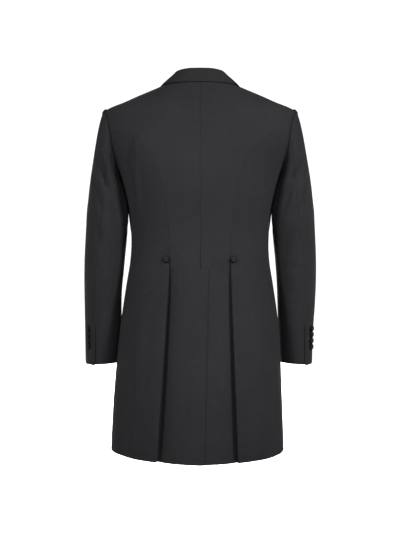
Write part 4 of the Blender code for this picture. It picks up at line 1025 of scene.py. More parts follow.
# %% The sizes of the sleeves
# Drop, inner side, outer side, middle, half depth.
SLEEVE = np.array((
    (290, 180, 273.5, 0, 63), (328, 176, 278, -2, 62.5), (357, 176.2, 279.5, -3, 62),
    (387, 179, 281.2, -5, 61), (446, 185, 284.3, -10, 59), (505, 189.3, 285.3, -16, 57),
    (563, 191.5, 284, -24, 55), (605, 193, 282, -30, 54), (650, 196, 280.8, -37, 53),
    (699, 200, 280.2, -44, 52.5),
), float) / MM
SLEEVE_TOP, CUFF_DROP = 0.290, 0.699
SLEEVE_CLEAR, CLEAR_FROM = 0.0030, 0.16
SLEEVE_TILT, HEAD_SPREAD, HEAD_REACH, HEAD_STEP = 0.1, 0.3, 0.36, 0.0002
HEAD_BULGE = (0.0105, 0.0055)
FRONT_SEAM_TURN = SIDE_SEAM_AT * 8 / 9
BACK_SEAM_TURN = SIDE_SEAM_AT + (BACK_SEAM_AT - SIDE_SEAM_AT) * 8 / 9
CUFF_TURNS = (112.0, 302.0)  # the front and the back seam at the cuff
EARLY_TURN = 0.15
CUFF_LAP, LAP_TURN, CUFF_POINT, CUFF_RISE, CUFF_SAG = 0.006, 11.75, 0.0022, 0.0045, 0.0032
CUFF_VENT_TOP, VENT_LIFTS, VENT_LAPS, VENT_SOFT = 0.598, 0.5985, 0.6000, 0.0035
POINT_FROM, RISE_FROM, LAP_COLUMNS = 0.670, 0.655, 6
ROPE = (0.0010, 0.0075, 0.0050)  # the head's ridge: its height, its place and its half width
HEAD_FADE, HEAD_SAMPLES = 0.009, 200
SLEEVE_PER_DEGREE = 0.0009
# Side (0 both), from a turn and a drop to a turn and a drop, half width, depth.
SLEEVE_CREASES = np.array((
    # Behind the arm, wearer's left.
    (1, 286, 186, 240, 280, 5.5, -5), (1, 300, 206, 254, 296, 6.5, 7), (1, 264, 178, 234, 244, 5.5, 5),
    (1, 320, 236, 268, 336, 8, 3.6), (1, 272, 280, 260, 410, 11, -3.4), (1, 246, 300, 226, 378, 7, 4.6),
    (1, 302, 345, 253, 424, 9, 2.2), (1, 240, 398, 224, 462, 8, 2.2),
    # Behind the arm, wearer's right.
    (-1, 308, 204, 252, 258, 5, 6.8), (-1, 314, 226, 262, 336, 6.2, -4.6),
    (-1, 310, 256, 282, 318, 5.2, 5.8), (-1, 262, 268, 234, 324, 6.2, 5),
    (-1, 282, 330, 256, 408, 9.5, -3.2), (-1, 252, 186, 232, 248, 5.5, 3.2),
    (-1, 322, 310, 274, 398, 8.5, 2.4), (-1, 244, 380, 226, 440, 8, 2.4),
    # The elbow and the forearm.
    (1, 236, 440, 282, 470, 9, 1.3), (-1, 230, 455, 286, 480, 8.5, 1.5), (1, 222, 505, 262, 522, 8, 1.2),
    (-1, 226, 512, 258, 540, 8, 1.1), (0, 60, 400, 128, 425, 7.5, 2.2), (0, 52, 448, 120, 455, 7, 2.6),
    (1, 66, 492, 126, 486, 8, 2), (-1, 58, 488, 118, 498, 7.5, 2.3), (0, 268, 560, 274, 668, 10, 1),
    (1, 328, 460, 322, 580, 11, 1), (-1, 334, 430, 326, 560, 11, 1.1),
    # Before the arm.
    (1, 72, 190, 118, 262, 6, 2.6), (-1, 66, 200, 114, 254, 5.5, 2.8), (1, 58, 236, 104, 318, 7, 1.8),
    (-1, 62, 246, 108, 330, 7, 2),
    # Where the arm rests on the body.
    (0, 200, 206, 199, 374, 11.5, -5.8), (1, 184, 480, 182, 596, 26, 2.6),
    (0, 180, 612, 182, 720, 14, -2.6),
    # The outer side.
    (1, 356, 560, 352, 800, 30, -4.2), (-1, 0, 120, 0, 520, 30, -2.4), (-1, 0, 560, 0, 840, 30, 3),
    (1, 8, 150, 2, 300, 12, -1), (-1, 12, 160, 4, 290, 12, -1.2), (0, 20, 330, 352, 400, 10, 1.2),
), float) / (1, 1, MM, 1, MM, MM, MM)
print("creases on the sleeves:", len(SLEEVE_CREASES))

# %% [markdown]
# ## The sleeve's surface
# From a little below the armhole, the sleeve is a stack of ovals. Above it, each line bends out of the armhole
# in a curve of four points, which gives the head its fullness. Where the sleeve would enter the body it is
# pushed out softly.

# %% The sleeve's surface
def cuff_turn(turn):
    front, back = FRONT_SEAM_TURN, BACK_SEAM_TURN
    at_cuff = (CUFF_TURNS[1] - 360, CUFF_TURNS[0], CUFF_TURNS[1], CUFF_TURNS[0] + 360, CUFF_TURNS[1] + 360)
    return np.interp(turn, (back - 360, front, back, front + 360, back + 360), at_cuff)


def sleeve_ring(turn, drop):
    inner, outer, middle, deep = (smooth(SLEEVE, drop, column) for column in (1, 2, 3, 4))
    turn = np.radians(turn)
    x = (inner + outer) / 2 + (outer - inner) / 2 * np.cos(turn)
    return np.stack(np.broadcast_arrays(x, middle - deep * np.sin(turn), -drop), axis=-1)


def clear_of_body(points, share):
    """The points, pushed out where the sleeve would come too near to the body."""
    drop, x, y = -points[..., 2], points[..., 0], points[..., 1]
    least = width_at(y, drop) + SLEEVE_CLEAR * share
    over = x - least
    pushed = least + SLEEVE_CLEAR * np.exp((np.minimum(over, SLEEVE_CLEAR) - SLEEVE_CLEAR) / SLEEVE_CLEAR)
    return np.stack([np.where(over > SLEEVE_CLEAR, x, pushed), y, points[..., 2]], axis=-1)


def head_curve(turns):
    """The four points of the curve from the armhole to the top of the sleeve's table, at each turn."""
    angle, drop = armhole(np.mod(turns, 360))
    start = surface(angle, drop, 0.0)
    around = np.radians(turns)
    radial = np.stack([np.zeros(len(turns)), -np.sin(around), np.cos(around)], axis=1)
    bulge = HEAD_BULGE[0] + HEAD_BULGE[1] * np.cos(around)
    first = start + bulge[:, None] * (np.array([1, 0, 0]) + HEAD_SPREAD * radial)
    end = sleeve_ring(turns + (cuff_turn(turns) - turns) * EARLY_TURN, np.array(SLEEVE_TOP))
    last = end + (start[:, 2] - end[:, 2])[:, None] * HEAD_REACH * np.array([-SLEEVE_TILT, 0, 1])
    inner = surface(angle, drop, -WALL) - radial * HEAD_STEP
    return start - radial * HEAD_STEP, first, last, end, inner


def along_head(curve, t):
    start, first, last, end = curve[:4]
    return start * (1 - t) ** 3 + first * 3 * t * (1 - t) ** 2 + last * 3 * t * t * (1 - t) + end * t**3


outer_side = head_curve(np.array([0.0]))
outer_line = np.concatenate([along_head(outer_side, t) for t in np.linspace(0, 1, HEAD_SAMPLES)])
HEAD_SHARES = along_curve(outer_line, True, False)[:-1]
SLEEVE_DROPS = SLEEVE_TOP + (CUFF_DROP - SLEEVE_TOP) * graded(CUFF_DROP - SLEEVE_TOP, False, True)
print("rows down a sleeve:", len(HEAD_SHARES) + len(SLEEVE_DROPS))

# %% [markdown]
# ## The two parts
# Both parts lie on the same surface and meet at its two seams. At the cuff's vent the top sleeve laps over
# the under sleeve, so it is moved out by one layer there.

# %% The two parts of a sleeve
def sleeve_points(turns):
    curve = head_curve(turns)
    rows = [curve[0]]
    rows += [clear_of_body(along_head(curve, t), min(1.0, t / CLEAR_FROM)) for t in HEAD_SHARES[1:]]
    for d in SLEEVE_DROPS:
        down = min(1.0, (d - SLEEVE_TOP) / (CUFF_VENT_TOP - SLEEVE_TOP))
        share = EARLY_TURN + (1 - EARLY_TURN) * down
        rows.append(clear_of_body(sleeve_ring(turns + (cuff_turn(turns) - turns) * share, np.array(d)), 1.0))
    return np.array(rows), curve[4]


def sleeve_part(name, side, from_turn, to_turn, laps):
    shares = graded((to_turn - from_turn) * SLEEVE_PER_DEGREE)
    turns = from_turn + (to_turn - from_turn) * shares
    padded = np.concatenate([[turns[0] - 2], turns, [turns[-1] + 2]])
    points, start_inner = sleeve_points(padded)
    normals = grid_normals(points)
    from_head = np.cumsum(np.linalg.norm(np.diff(points, axis=0, prepend=points[:1]), axis=2), axis=0)
    table = [row[1:] for row in SLEEVE_CREASES if row[0] in (0, side)]
    sunk = crease_depth(table, padded[None, :], -points[..., 2], SLEEVE_PER_DEGREE)
    sunk = sunk * ease(from_head / HEAD_FADE)
    height, place, width = ROPE
    ridge = height * np.exp(-(((from_head - place) / width) ** 2))
    sunk = sunk - ridge * np.maximum(np.cos(np.radians(padded)), 0)
    points = points - normals * sunk[..., None]
    normals = grid_normals(points)
    inner = points - normals * WALL
    inner[0] = start_inner
    outer, inner, normals = points[:, 1:-1], inner[:, 1:-1], normals[:, 1:-1]
    if laps:
        rows = np.concatenate([np.zeros(len(HEAD_SHARES)), SLEEVE_DROPS])
        lifted = ease((rows - VENT_LIFTS) / VENT_SOFT)
        lapped = CUFF_LAP * ease((rows - VENT_LAPS) / VENT_SOFT)
        beyond = (turns - from_turn) / LAP_TURN
        near, raised = np.clip(1 - beyond, 0, 1), ease(np.clip(2 - beyond, 0, 1))
        toward = unit(outer[:, 0] - outer[:, LAP_COLUMNS])
        shift = normals * (lifted[:, None] * raised)[..., None] * LAYER
        shift = shift + toward[:, None, :] * (lapped[:, None] * near)[..., None]
        shift[..., 2] -= CUFF_POINT * (ease((rows - POINT_FROM) / (CUFF_DROP - POINT_FROM))[:, None] * near)
        outer, inner = outer + shift, inner + shift
    # The cuff's edge rises a little towards the body.
    inward = ((1 - np.cos(np.radians(turns))) / 2) ** 3
    rise = ease((-outer[..., 2] - RISE_FROM) / (CUFF_DROP - RISE_FROM)) * (CUFF_RISE * inward - CUFF_SAG)
    outer[..., 2] += rise
    inner[..., 2] += rise
    cells = all_cells(outer)
    distance = edge_distance(outer, cells)
    outer = outer - normals * seam_sink(distance, -outer[..., 2])[..., None]
    flip = np.array([side, 1, 1])
    shell(name, outer * flip, inner * flip, cells, side < 0, distance, outer.shape[1] // 2)


for side, word in SIDES.items():
    sleeve_part(f"cloth_under_sleeve_{word}", side, FRONT_SEAM_TURN, BACK_SEAM_TURN, False)
    sleeve_part(f"cloth_top_sleeve_{word}", side, BACK_SEAM_TURN, FRONT_SEAM_TURN + 360, True)

# %% [markdown]
# ## The cloth
# A worsted has a fine twill, so fine that it shows only as a soft sheen, and it is never one even tone. Two
# groups carry that. One draws the twill and the nap in metres along each panel's own grain. The other
# varies the tone over the coat, darkens the pressed edges, paints shade into the seams and under the
# buttons' rims, and scatters a little lint. Every cloth material places both groups with its own values.

# %% Helpers for node groups
def new_group(name, kind, inputs, outputs):
    tree = bpy.data.node_groups.new(name, kind)
    for title, socket, value in inputs:
        made = tree.interface.new_socket(title, in_out="INPUT", socket_type=socket)
        if value is not None:
            made.default_value = value
    for title, socket in outputs:
        tree.interface.new_socket(title, in_out="OUTPUT", socket_type=socket)
    return tree, tree.nodes.new("NodeGroupInput"), tree.nodes.new("NodeGroupOutput")


def wire(tree, made, values):
    """Links or sets a node's inputs, found by name or number."""
    for key, value in values.items():
        if isinstance(value, bpy.types.NodeSocket):
            tree.links.new(value, made.inputs[key])
        else:
            made.inputs[key].default_value = value


def node(tree, kind, values=None, **settings):
    """A new node with its settings and its inputs."""
    made = tree.nodes.new(kind)
    for key, value in settings.items():
        setattr(made, key, value)
    wire(tree, made, values or {})
    return made


def maths(tree, operation, *values):
    return node(tree, "ShaderNodeMath", dict(enumerate(values)), operation=operation).outputs[0]


def noise(tree, place, scale, detail, roughness=0.5):
    values = {"Vector": place, "Scale": scale, "Detail": detail, "Roughness": roughness}
    return node(tree, "ShaderNodeTexNoise", values).outputs[0]


def bump(tree, height, strength, distance, **more):
    values = {"Height": height, "Strength": strength, "Distance": distance, **more}
    return node(tree, "ShaderNodeBump", values).outputs[0]


print("helpers ready")

# %% [markdown]
# ## The twill
# The ribs of a twill run slanting over the threads. Sines of the place along the grain draw both, and fine
# noise draws the nap. An image of cloth would blur from close by and repeat from afar.

# %% The twill
def make_weave():
    inputs = (
        ("Place", "NodeSocketVector", None),
        ("Pitch", "NodeSocketFloat", 0.0009),
        ("Depth", "NodeSocketFloat", 0.5),
    )
    outputs = (("Height", "NodeSocketFloat"), ("Shade", "NodeSocketFloat"))
    tree, given, result = new_group("cloth_weave", "ShaderNodeTree", inputs, outputs)
    do = partial(maths, tree)
    place, pitch = given.outputs["Place"], given.outputs["Pitch"]
    wander = noise(tree, place, 55.0, 1.0)
    parts = node(tree, "ShaderNodeSeparateXYZ", {0: place})
    wave = do("MULTIPLY", wander, 0.0006)
    slant = do("ADD", do("ADD", parts.outputs[0], parts.outputs[1]), wave)
    ribs = do("SINE", do("DIVIDE", do("MULTIPLY", slant, 2 * math.pi), pitch))
    threads = do("SINE", do("DIVIDE", do("MULTIPLY", parts.outputs[1], 4 * math.pi), pitch))
    nap = noise(tree, place, 2400.0, 2.0, 0.6)
    both = do("ADD", do("MULTIPLY", ribs, 0.34), do("MULTIPLY", threads, 0.14))
    height = do("ADD", both, do("MULTIPLY", nap, 0.55))
    shade = do("ADD", do("MULTIPLY", height, given.outputs["Depth"]), 0.5)
    wire(tree, result, {"Height": height, "Shade": shade})
    return tree


weave = make_weave()
print(weave.name, len(weave.nodes), "nodes")

# %% [markdown]
# ## The tone
# Wool is lighter in one place than in another, and darker where it was pressed. Noise of several sizes
# varies the tone. The marked edges darken it, as pressing and as painted shade in the seams, and a
# button's marked rim is darkened further by a painted shadow.

# %% The tone
LINT = (0.11, 0.11, 0.115, 1)


def make_tone():
    inputs = (
        ("Place", "NodeSocketVector", None),
        ("Edge", "NodeSocketFloat", 0.0),
        ("Shade", "NodeSocketFloat", 0.5),
        ("Dark", "NodeSocketColor", (0.02, 0.02, 0.022, 1)),
        ("Light", "NodeSocketColor", (0.04, 0.04, 0.043, 1)),
        ("Pressing and shade", "NodeSocketFloat", 0.25),
        ("Shadow", "NodeSocketFloat", 0.0),
    )
    outputs = (("Colour", "NodeSocketColor"), ("Roughness", "NodeSocketFloat"), ("Dent", "NodeSocketFloat"))
    tree, given, result = new_group("cloth_tone", "ShaderNodeTree", inputs, outputs)
    do = partial(maths, tree)
    place = given.outputs["Place"]
    broad = noise(tree, place, 6.0, 2.0)
    mottle = noise(tree, place, 75.0, 3.0, 0.6)
    lint = noise(tree, place, 620.0, 1.0, 0.4)
    soft = do("MULTIPLY", do("SUBTRACT", broad, 0.5), 0.75)
    small = do("MULTIPLY", do("SUBTRACT", mottle, 0.5), 0.55)
    fine = do("MULTIPLY", do("SUBTRACT", given.outputs["Shade"], 0.5), 0.5)
    mixed = do("ADD", do("ADD", soft, small), do("ADD", fine, 0.5))
    # The marked edges pull the tone towards the dark colour: pressing, and painted shade in the seams.
    pressed = do("MULTIPLY", given.outputs["Edge"], given.outputs["Pressing and shade"])
    clamped = {"operation": "SUBTRACT", "use_clamp": True}
    light = node(tree, "ShaderNodeMath", {0: mixed, 1: pressed}, **clamped).outputs[0]
    ends = {0: light, 6: given.outputs["Dark"], 7: given.outputs["Light"]}
    toned = node(tree, "ShaderNodeMix", ends, data_type="RGBA")
    flecks = node(tree, "ShaderNodeMapRange", {0: lint, 1: 0.74, 2: 0.82, 3: 0.0, 4: 0.35})
    specks = {0: flecks.outputs[0], 6: toned.outputs[2], 7: LINT}
    dusty = node(tree, "ShaderNodeMix", specks, data_type="RGBA")
    # Painted shadow: the colour is scaled down by the marked edge times Shadow, which the buttons use under
    # their rims.
    shadow = do("SUBTRACT", 1.0, do("MULTIPLY", given.outputs["Edge"], given.outputs["Shadow"]))
    shaded = node(tree, "ShaderNodeVectorMath", {0: dusty.outputs[2], 3: shadow}, operation="SCALE")
    rough = node(tree, "ShaderNodeMapRange", {0: light, 1: 0.0, 2: 1.0, 3: 0.80, 4: 0.93})
    made = {"Colour": shaded.outputs[0], "Roughness": rough.outputs[0], "Dent": mottle}
    wire(tree, result, made)
    return tree


tone = make_tone()
print(tone.name, len(tone.nodes), "nodes")

# %% [markdown]
# ## The materials
# The coat is of one cloth, but each kind of panel gets two tones of its own, as painted light and shade:
# the sides, sleeves, lapels and collar are a little darker than the back and fronts, most of all the sleeves
# and sides, which the arms and the turn of the body keep from the light. A little sheen stands for the ends
# of the fibres.

# %% The cloth materials
def cloth_material(name, dark, light, pitch=0.0009, pressing_and_shade=0.12, along_grain=True, sheen=0.03, shadow=0.0):
    made = bpy.data.materials.new(name)
    made.use_nodes = True
    tree = made.node_tree
    place = node(tree, "ShaderNodeTexCoord").outputs["Object"]
    grain = node(tree, "ShaderNodeUVMap", uv_map="grain").outputs[0] if along_grain else place
    edge = node(tree, "ShaderNodeAttribute", attribute_name="pressed_edge_and_painted_shade")
    threads = node(tree, "ShaderNodeGroup", node_tree=weave)
    wire(tree, threads, {"Place": grain, "Pitch": pitch})
    colours = node(tree, "ShaderNodeGroup", node_tree=tone)
    wire(tree, colours, {
        "Place": place, "Edge": edge.outputs["Fac"], "Shade": threads.outputs["Shade"],
        "Dark": (*dark, 1), "Light": (*light, 1), "Pressing and shade": pressing_and_shade, "Shadow": shadow,
    })
    dents = bump(tree, colours.outputs["Dent"], 0.35, 0.0005)
    relief = bump(tree, threads.outputs["Height"], 0.5, 0.00012, Normal=dents)
    wire(tree, tree.nodes["Principled BSDF"], {
        "Base Color": colours.outputs["Colour"], "Roughness": colours.outputs["Roughness"], "Normal": relief,
        "Specular IOR Level": 0.18, "Sheen Weight": sheen, "Sheen Roughness": 0.45,
        "Sheen Tint": (0.75, 0.76, 0.82, 1),
    })
    return made


# A button's marked rim gets painted shade, through both its pressing and its shadow.
BUTTON_CLOTH = {"pitch": 0.0008, "pressing_and_shade": 0.2, "along_grain": False, "sheen": 0.05, "shadow": 0.80}
THREAD = {"pitch": 0.0006, "pressing_and_shade": 0.0, "along_grain": False, "sheen": 0.02}
# A slot, its material's name, its dark and its light colour.
WOOLS = (
    ("wool", "charcoal_worsted", (0.0215, 0.0215, 0.0240), (0.0420, 0.0415, 0.0455)),
    # The sides and sleeves are darker copies of the same cloth: painted shade.
    ("wool_side", "charcoal_worsted_sides_painted_shade", (0.0205, 0.0205, 0.0230), (0.0400, 0.0396, 0.0435)),
    ("wool_sleeve", "charcoal_worsted_sleeves_painted_shade", (0.0200, 0.0200, 0.0225), (0.0395, 0.0390, 0.0428)),
    ("wool_lapel", "charcoal_worsted_lapels", (0.0210, 0.0210, 0.0230), (0.0405, 0.0402, 0.0436)),
    ("wool_collar", "charcoal_collar_cloth", (0.0210, 0.0208, 0.0218), (0.0400, 0.0395, 0.0410)),
)
finishes = {slot: cloth_material(*look) for slot, *look in WOOLS}
finishes["covered_button"] = cloth_material(
    "covered_button_cloth", (0.0180, 0.0180, 0.0200), (0.0360, 0.0355, 0.0388), **BUTTON_CLOTH)
thread = cloth_material("sewing_thread", (0.0150, 0.0150, 0.0170), (0.0300, 0.0300, 0.0330), **THREAD)
PANEL_SLOTS = (("back", "wool"), ("front", "wool"), ("side_body", "wool_side"), ("lapel", "wool_lapel"),
               ("under_sleeve", "wool_sleeve"), ("top_sleeve", "wool_sleeve"), ("collar", "wool_collar"))


def slot_of(node_name):
    return next(slot for start, slot in PANEL_SLOTS if node_name.startswith(start))


for name, made in made_pieces.items():
    made.data.materials.append(finishes[slot_of(name.removeprefix("cloth_"))])
print("materials:", [m.name for m in bpy.data.materials][-7:])

# %% [markdown]
# ## The covered buttons
# The buttons are metal domes covered in the coat's own cloth: two at the waist behind, four on each cuff,
# which touch, and two in front. One Geometry Nodes tree makes a dome and puts it on every point that it is
# given, turned to face the way that the point's own arrow says. The points themselves are found by looking
# down on the cloth, so that no button hangs in the air or sinks in.

# %% The tree of the buttons
GEOMETRY_OUT = (("Geometry", "NodeSocketGeometry"),)
DOME_POWER, FOOT_HEIGHT, FOOT_SLOPE, DOME_FROM = 2.7, 0.28, 3.0, -0.02
SIDE_WIDTH, GATHER, GATHER_POWER, RIM_SHADE = 0.985, 0.012, 9.0, (0.66, 0.90)


def laid_out(tree, links, arrow_name, axis, finish, result):
    """The end of a tree: one thing on every point, turned along its arrow, made real and given a material."""
    arrow = node(tree, "GeometryNodeInputNamedAttribute", data_type="FLOAT_VECTOR")
    arrow.inputs["Name"].default_value = arrow_name
    turned = node(tree, "FunctionNodeAlignRotationToVector", {"Vector": arrow.outputs[0]}, axis=axis)
    placed = node(tree, "GeometryNodeInstanceOnPoints", {**links, "Rotation": turned.outputs[0]})
    real = node(tree, "GeometryNodeRealizeInstances", {0: placed.outputs[0]})
    shaded = node(tree, "GeometryNodeSetShadeSmooth", {"Geometry": real.outputs[0]})
    finished = node(tree, "GeometryNodeSetMaterial", {"Geometry": shaded.outputs[0], "Material": finish})
    tree.links.new(finished.outputs[0], result.inputs["Geometry"])
    return tree


def button_tree():
    inputs = (
        ("Geometry", "NodeSocketGeometry", None),
        ("Diameter", "NodeSocketFloat", 0.0175),
        ("Height", "NodeSocketFloat", 0.006),
        ("Pleats", "NodeSocketFloat", 11.0),
        ("Cloth", "NodeSocketMaterial", None),
    )
    tree, given, result = new_group("covered_buttons", "GeometryNodeTree", inputs, GEOMETRY_OUT)
    do = partial(maths, tree)
    ball = node(tree, "GeometryNodeMeshUVSphere", {"Segments": 32, "Rings": 18, "Radius": 1.0})
    spot = node(tree, "GeometryNodeInputPosition")
    x, y, z = node(tree, "ShaderNodeSeparateXYZ", {0: spot.outputs[0]}).outputs
    reach = do("MINIMUM", do("SQRT", do("ADD", do("MULTIPLY", x, x), do("MULTIPLY", y, y))), 1.0)
    # The dome is rounder at its rim than a ball, and its foot turns in under it.
    dome = do("POWER", do("SUBTRACT", 1.0, do("POWER", reach, DOME_POWER)), 1 / DOME_POWER)
    top = do("ADD", do("MULTIPLY", dome, 1 - FOOT_HEIGHT), FOOT_HEIGHT)
    foot = do("MULTIPLY", do("ADD", do("MULTIPLY", z, FOOT_SLOPE), 1.0), FOOT_HEIGHT)
    upper = do("GREATER_THAN", z, DOME_FROM)
    height = node(tree, "ShaderNodeMix", {0: upper, 2: do("MAXIMUM", foot, 0.0), 3: top}).outputs[0]
    # Small gathers where the cover goes round the rim.
    gathers = do("SINE", do("MULTIPLY", do("ARCTAN2", y, x), given.outputs["Pleats"]))
    near_rim = do("POWER", reach, GATHER_POWER)
    wide = do("ADD", SIDE_WIDTH, do("MULTIPLY", do("MULTIPLY", gathers, near_rim), GATHER))
    half = do("MULTIPLY", do("MULTIPLY", given.outputs["Diameter"], 0.5), wide)
    tall = do("MULTIPLY", height, given.outputs["Height"])
    sides = {0: do("MULTIPLY", x, half), 1: do("MULTIPLY", y, half)}
    place = node(tree, "ShaderNodeCombineXYZ", {**sides, 2: tall}).outputs[0]
    # Painted shade: where the cover turns in under the rim, its colour is darkened as if shade fell there.
    # That is marked while the ball is round.
    rim = node(tree, "ShaderNodeMapRange", {0: reach, 1: RIM_SHADE[0], 2: RIM_SHADE[1]})
    mark = {"Geometry": ball.outputs[0], "Name": "pressed_edge_and_painted_shade", "Value": rim.outputs[0]}
    marked = node(tree, "GeometryNodeStoreNamedAttribute", mark, data_type="FLOAT")
    formed = node(tree, "GeometryNodeSetPosition", {"Geometry": marked.outputs[0], "Position": place})
    links = {"Points": given.outputs["Geometry"], "Instance": formed.outputs[0]}
    return laid_out(tree, links, "facing", "Z", given.outputs["Cloth"], result)


buttons_tree = button_tree()
print(buttons_tree.name, len(buttons_tree.nodes), "nodes")

# %% [markdown]
# ## From a tree to a mesh
# A tree runs on an object that holds only points or a path. Its result is read back as a plain mesh,
# because the finished model holds meshes and no trees.

# %% Running a tree
def grow(name, tree, points, edges, arrows, arrow_name, values):
    """Runs a tree on a few points or a path, and keeps the result as a plain mesh."""
    seed = bpy.data.meshes.new(name + "_points")
    seed.from_pydata([tuple(p) for p in points], edges, [])
    arrow = seed.attributes.new(arrow_name, "FLOAT_VECTOR", "POINT")
    arrow.data.foreach_set("vector", np.array(arrows, np.float32).ravel())
    start = in_scene(name + "_points", seed)
    modifier = start.modifiers.new(name, "NODES")
    modifier.node_group = tree
    for item in tree.interface.items_tree:
        if item.item_type == "SOCKET" and item.in_out == "INPUT" and item.name in values:
            modifier[item.identifier] = values[item.name]
    graph = bpy.context.evaluated_depsgraph_get()
    mesh = bpy.data.meshes.new_from_object(start.evaluated_get(graph), depsgraph=graph)
    bpy.data.objects.remove(start, do_unlink=True)
    mesh.name = name
    return in_scene(name, mesh)


print("a tree makes one object from its points")

# %% [markdown]
# ## Where the buttons sit
# A button rests on the highest layer of cloth under it. Rays cast down at several places under the button
# find that layer, and the button is set on the highest hit.

# %% Where the buttons sit
BACK_BUTTON, CUFF_BUTTON, FRONT_BUTTON = (0.0175, 0.0068), (0.0149, 0.0058), (0.0200, 0.0066)
BACK_BUTTON_AT = (0.0795, 0.4437)
CUFF_BUTTON_DROPS, CUFF_BUTTON_ANGLE = (0.6125, 0.6275, 0.6425, 0.6575), -41.0
FRONT_BUTTON_DROPS = (0.420, 0.535)
SEAT_REACH, SEAT_RAYS, SEAT_GAP = 0.02, 12, 0.0001


def seated(cloth_names, place, normal, radius):
    """The place moved along its normal until a button there rests on the highest cloth under it."""
    place, normal = Vector(place), Vector(normal).normalized()
    side_way = normal.orthogonal().normalized()
    other_way = normal.cross(side_way)
    graph = bpy.context.evaluated_depsgraph_get()
    trees = [BVHTree.FromObject(made_pieces[name], graph) for name in cloth_names]
    heights = []
    for share in (0.0, 0.5, 0.95):
        for k in range(SEAT_RAYS):
            turn = 2 * math.pi * k / SEAT_RAYS
            point = place + (side_way * math.cos(turn) + other_way * math.sin(turn)) * radius * share
            for tree in trees:
                hit = tree.ray_cast(point + normal * SEAT_REACH, -normal, 2 * SEAT_REACH)
                if hit[0] is not None:
                    heights.append((hit[0] - place).dot(normal))
    return place + normal * (max(heights) + SEAT_GAP), normal


def button_set(name, places, size, nodes):
    points, arrows = zip(*places)
    values = {"Diameter": size[0], "Height": size[1], "Cloth": finishes["covered_button"]}
    made = grow(name, buttons_tree, points, [], [tuple(a) for a in arrows], "facing", values)
    button_pieces[made.name] = (made, nodes)
    print(name, len(made.data.polygons), "faces")


def on_body(angle, drop, cloth_names, size):
    """A button's place and direction on the body's cloth."""
    at, beyond = surface(angle, drop, 0.0), surface(angle, drop, WALL)
    return seated(cloth_names, at, beyond - at, size[0] / 2)


button_pieces = {}
for side, word in SIDES.items():
    flip = np.array([side, 1, 1])
    under = (f"cloth_back_{word}", f"cloth_side_body_{word}")
    place = on_body(side * float(angle_at(*BACK_BUTTON_AT, BACK)), BACK_BUTTON_AT[1], under, BACK_BUTTON)
    button_set(f"covered_waist_button_{word}", [place], BACK_BUTTON, [f"back_button_{word}"])
    places = []
    for d in CUFF_BUTTON_DROPS:
        before, at, after = (sleeve_ring(CUFF_BUTTON_ANGLE + a, np.array(d)) for a in (-4, 0, 4))
        facing = np.cross(after - before, [0, 0, -1.0]) * flip
        places.append(seated((f"cloth_top_sleeve_{word}",), at * flip, facing, CUFF_BUTTON[0] / 2))
    nodes = [f"cuff_button_{word}_{k + 1}" for k in range(len(places))]
    button_set(f"covered_cuff_buttons_{word}", places, CUFF_BUTTON, nodes)
places = [on_body(math.pi, d, ("cloth_front_left",), FRONT_BUTTON) for d in FRONT_BUTTON_DROPS]
button_set("covered_front_buttons", places, FRONT_BUTTON, ["front_button_1", "front_button_2"])

# %% [markdown]
# ## Sewing
# Along the edges of a good coat runs a line of pick stitches, small dips made by hand that keep the edge
# thin. In front, each button comes out of a buttonhole, whose slit is closed round with stitches side by
# side. Both are one short thread repeated along a path, so one Geometry Nodes tree lays them all. The arrow
# at each point of the path says which way its stitch lies: along the path for pick stitches, across it for
# a buttonhole.

# %% The tree of the stitches
def stitch_tree():
    inputs = (
        ("Geometry", "NodeSocketGeometry", None),
        ("Spacing", "NodeSocketFloat", 0.0055),
        ("Length", "NodeSocketFloat", 0.0016),
        ("Thickness", "NodeSocketFloat", 0.0004),
        ("Thread", "NodeSocketMaterial", None),
    )
    tree, given, result = new_group("stitches", "GeometryNodeTree", inputs, GEOMETRY_OUT)
    line = node(tree, "GeometryNodeMeshToCurve", {0: given.outputs["Geometry"]})
    steps = {"Curve": line.outputs[0], "Length": given.outputs["Spacing"]}
    spaced = node(tree, "GeometryNodeResampleCurve", steps, mode="LENGTH")
    bead = node(tree, "GeometryNodeMeshUVSphere", {"Segments": 6, "Rings": 4, "Radius": 0.5})
    length, thickness = given.outputs["Length"], given.outputs["Thickness"]
    size = node(tree, "ShaderNodeCombineXYZ", {0: length, 1: thickness, 2: thickness})
    links = {"Points": spaced.outputs[0], "Instance": bead.outputs[0], "Scale": size.outputs[0]}
    return laid_out(tree, links, "lay", "X", given.outputs["Thread"], result)


stitches = stitch_tree()
print(stitches.name, len(stitches.nodes), "nodes")

# %% [markdown]
# ## Pick stitches
# The stitches run about 3 mm in from the edge. The panel's own grid has a line of points there, so the path
# is read from it and follows every bend.

# %% Pick stitches along the edges
PICK = {"Spacing": 0.0055, "Length": 0.0017, "Thickness": 0.00042, "Thread": thread}
INSET = 3  # columns or rows in from the edge, about 3 mm
PICK_BELOW = 0.012  # how far below the lapel's break the line on the front's edge begins


def pick_line(name, path):
    edges = [(k, k + 1) for k in range(len(path) - 1)]
    return grow(name, stitches, path, edges, unit(np.gradient(path, axis=0)), "lay", PICK)


sewn = {}
for word in SIDES.values():
    path = grids[f"cloth_lapel_{word}"][INSET:-INSET, INSET]
    sewn[f"lapel_{word}"] = pick_line(f"pick_stitches_lapel_{word}", path)
    edge = grids[f"cloth_front_{word}"][:, -1 - INSET]
    below = edge[edge[:, 2] < -BREAK_DROP - PICK_BELOW][:-INSET]
    sewn[f"front_{word}"] = pick_line(f"pick_stitches_front_{word}", below)
sewn["collar_leaf"] = pick_line("pick_stitches_collar", grids["cloth_collar_leaf"][-1 - INSET, INSET:-INSET])
print("stitched edges:", len(sewn))

# %% [markdown]
# ## Buttonholes
# A buttonhole reaches from under its button to a little beyond it. Its stitches stand side by side across
# the slit, on the outer face of the left front.

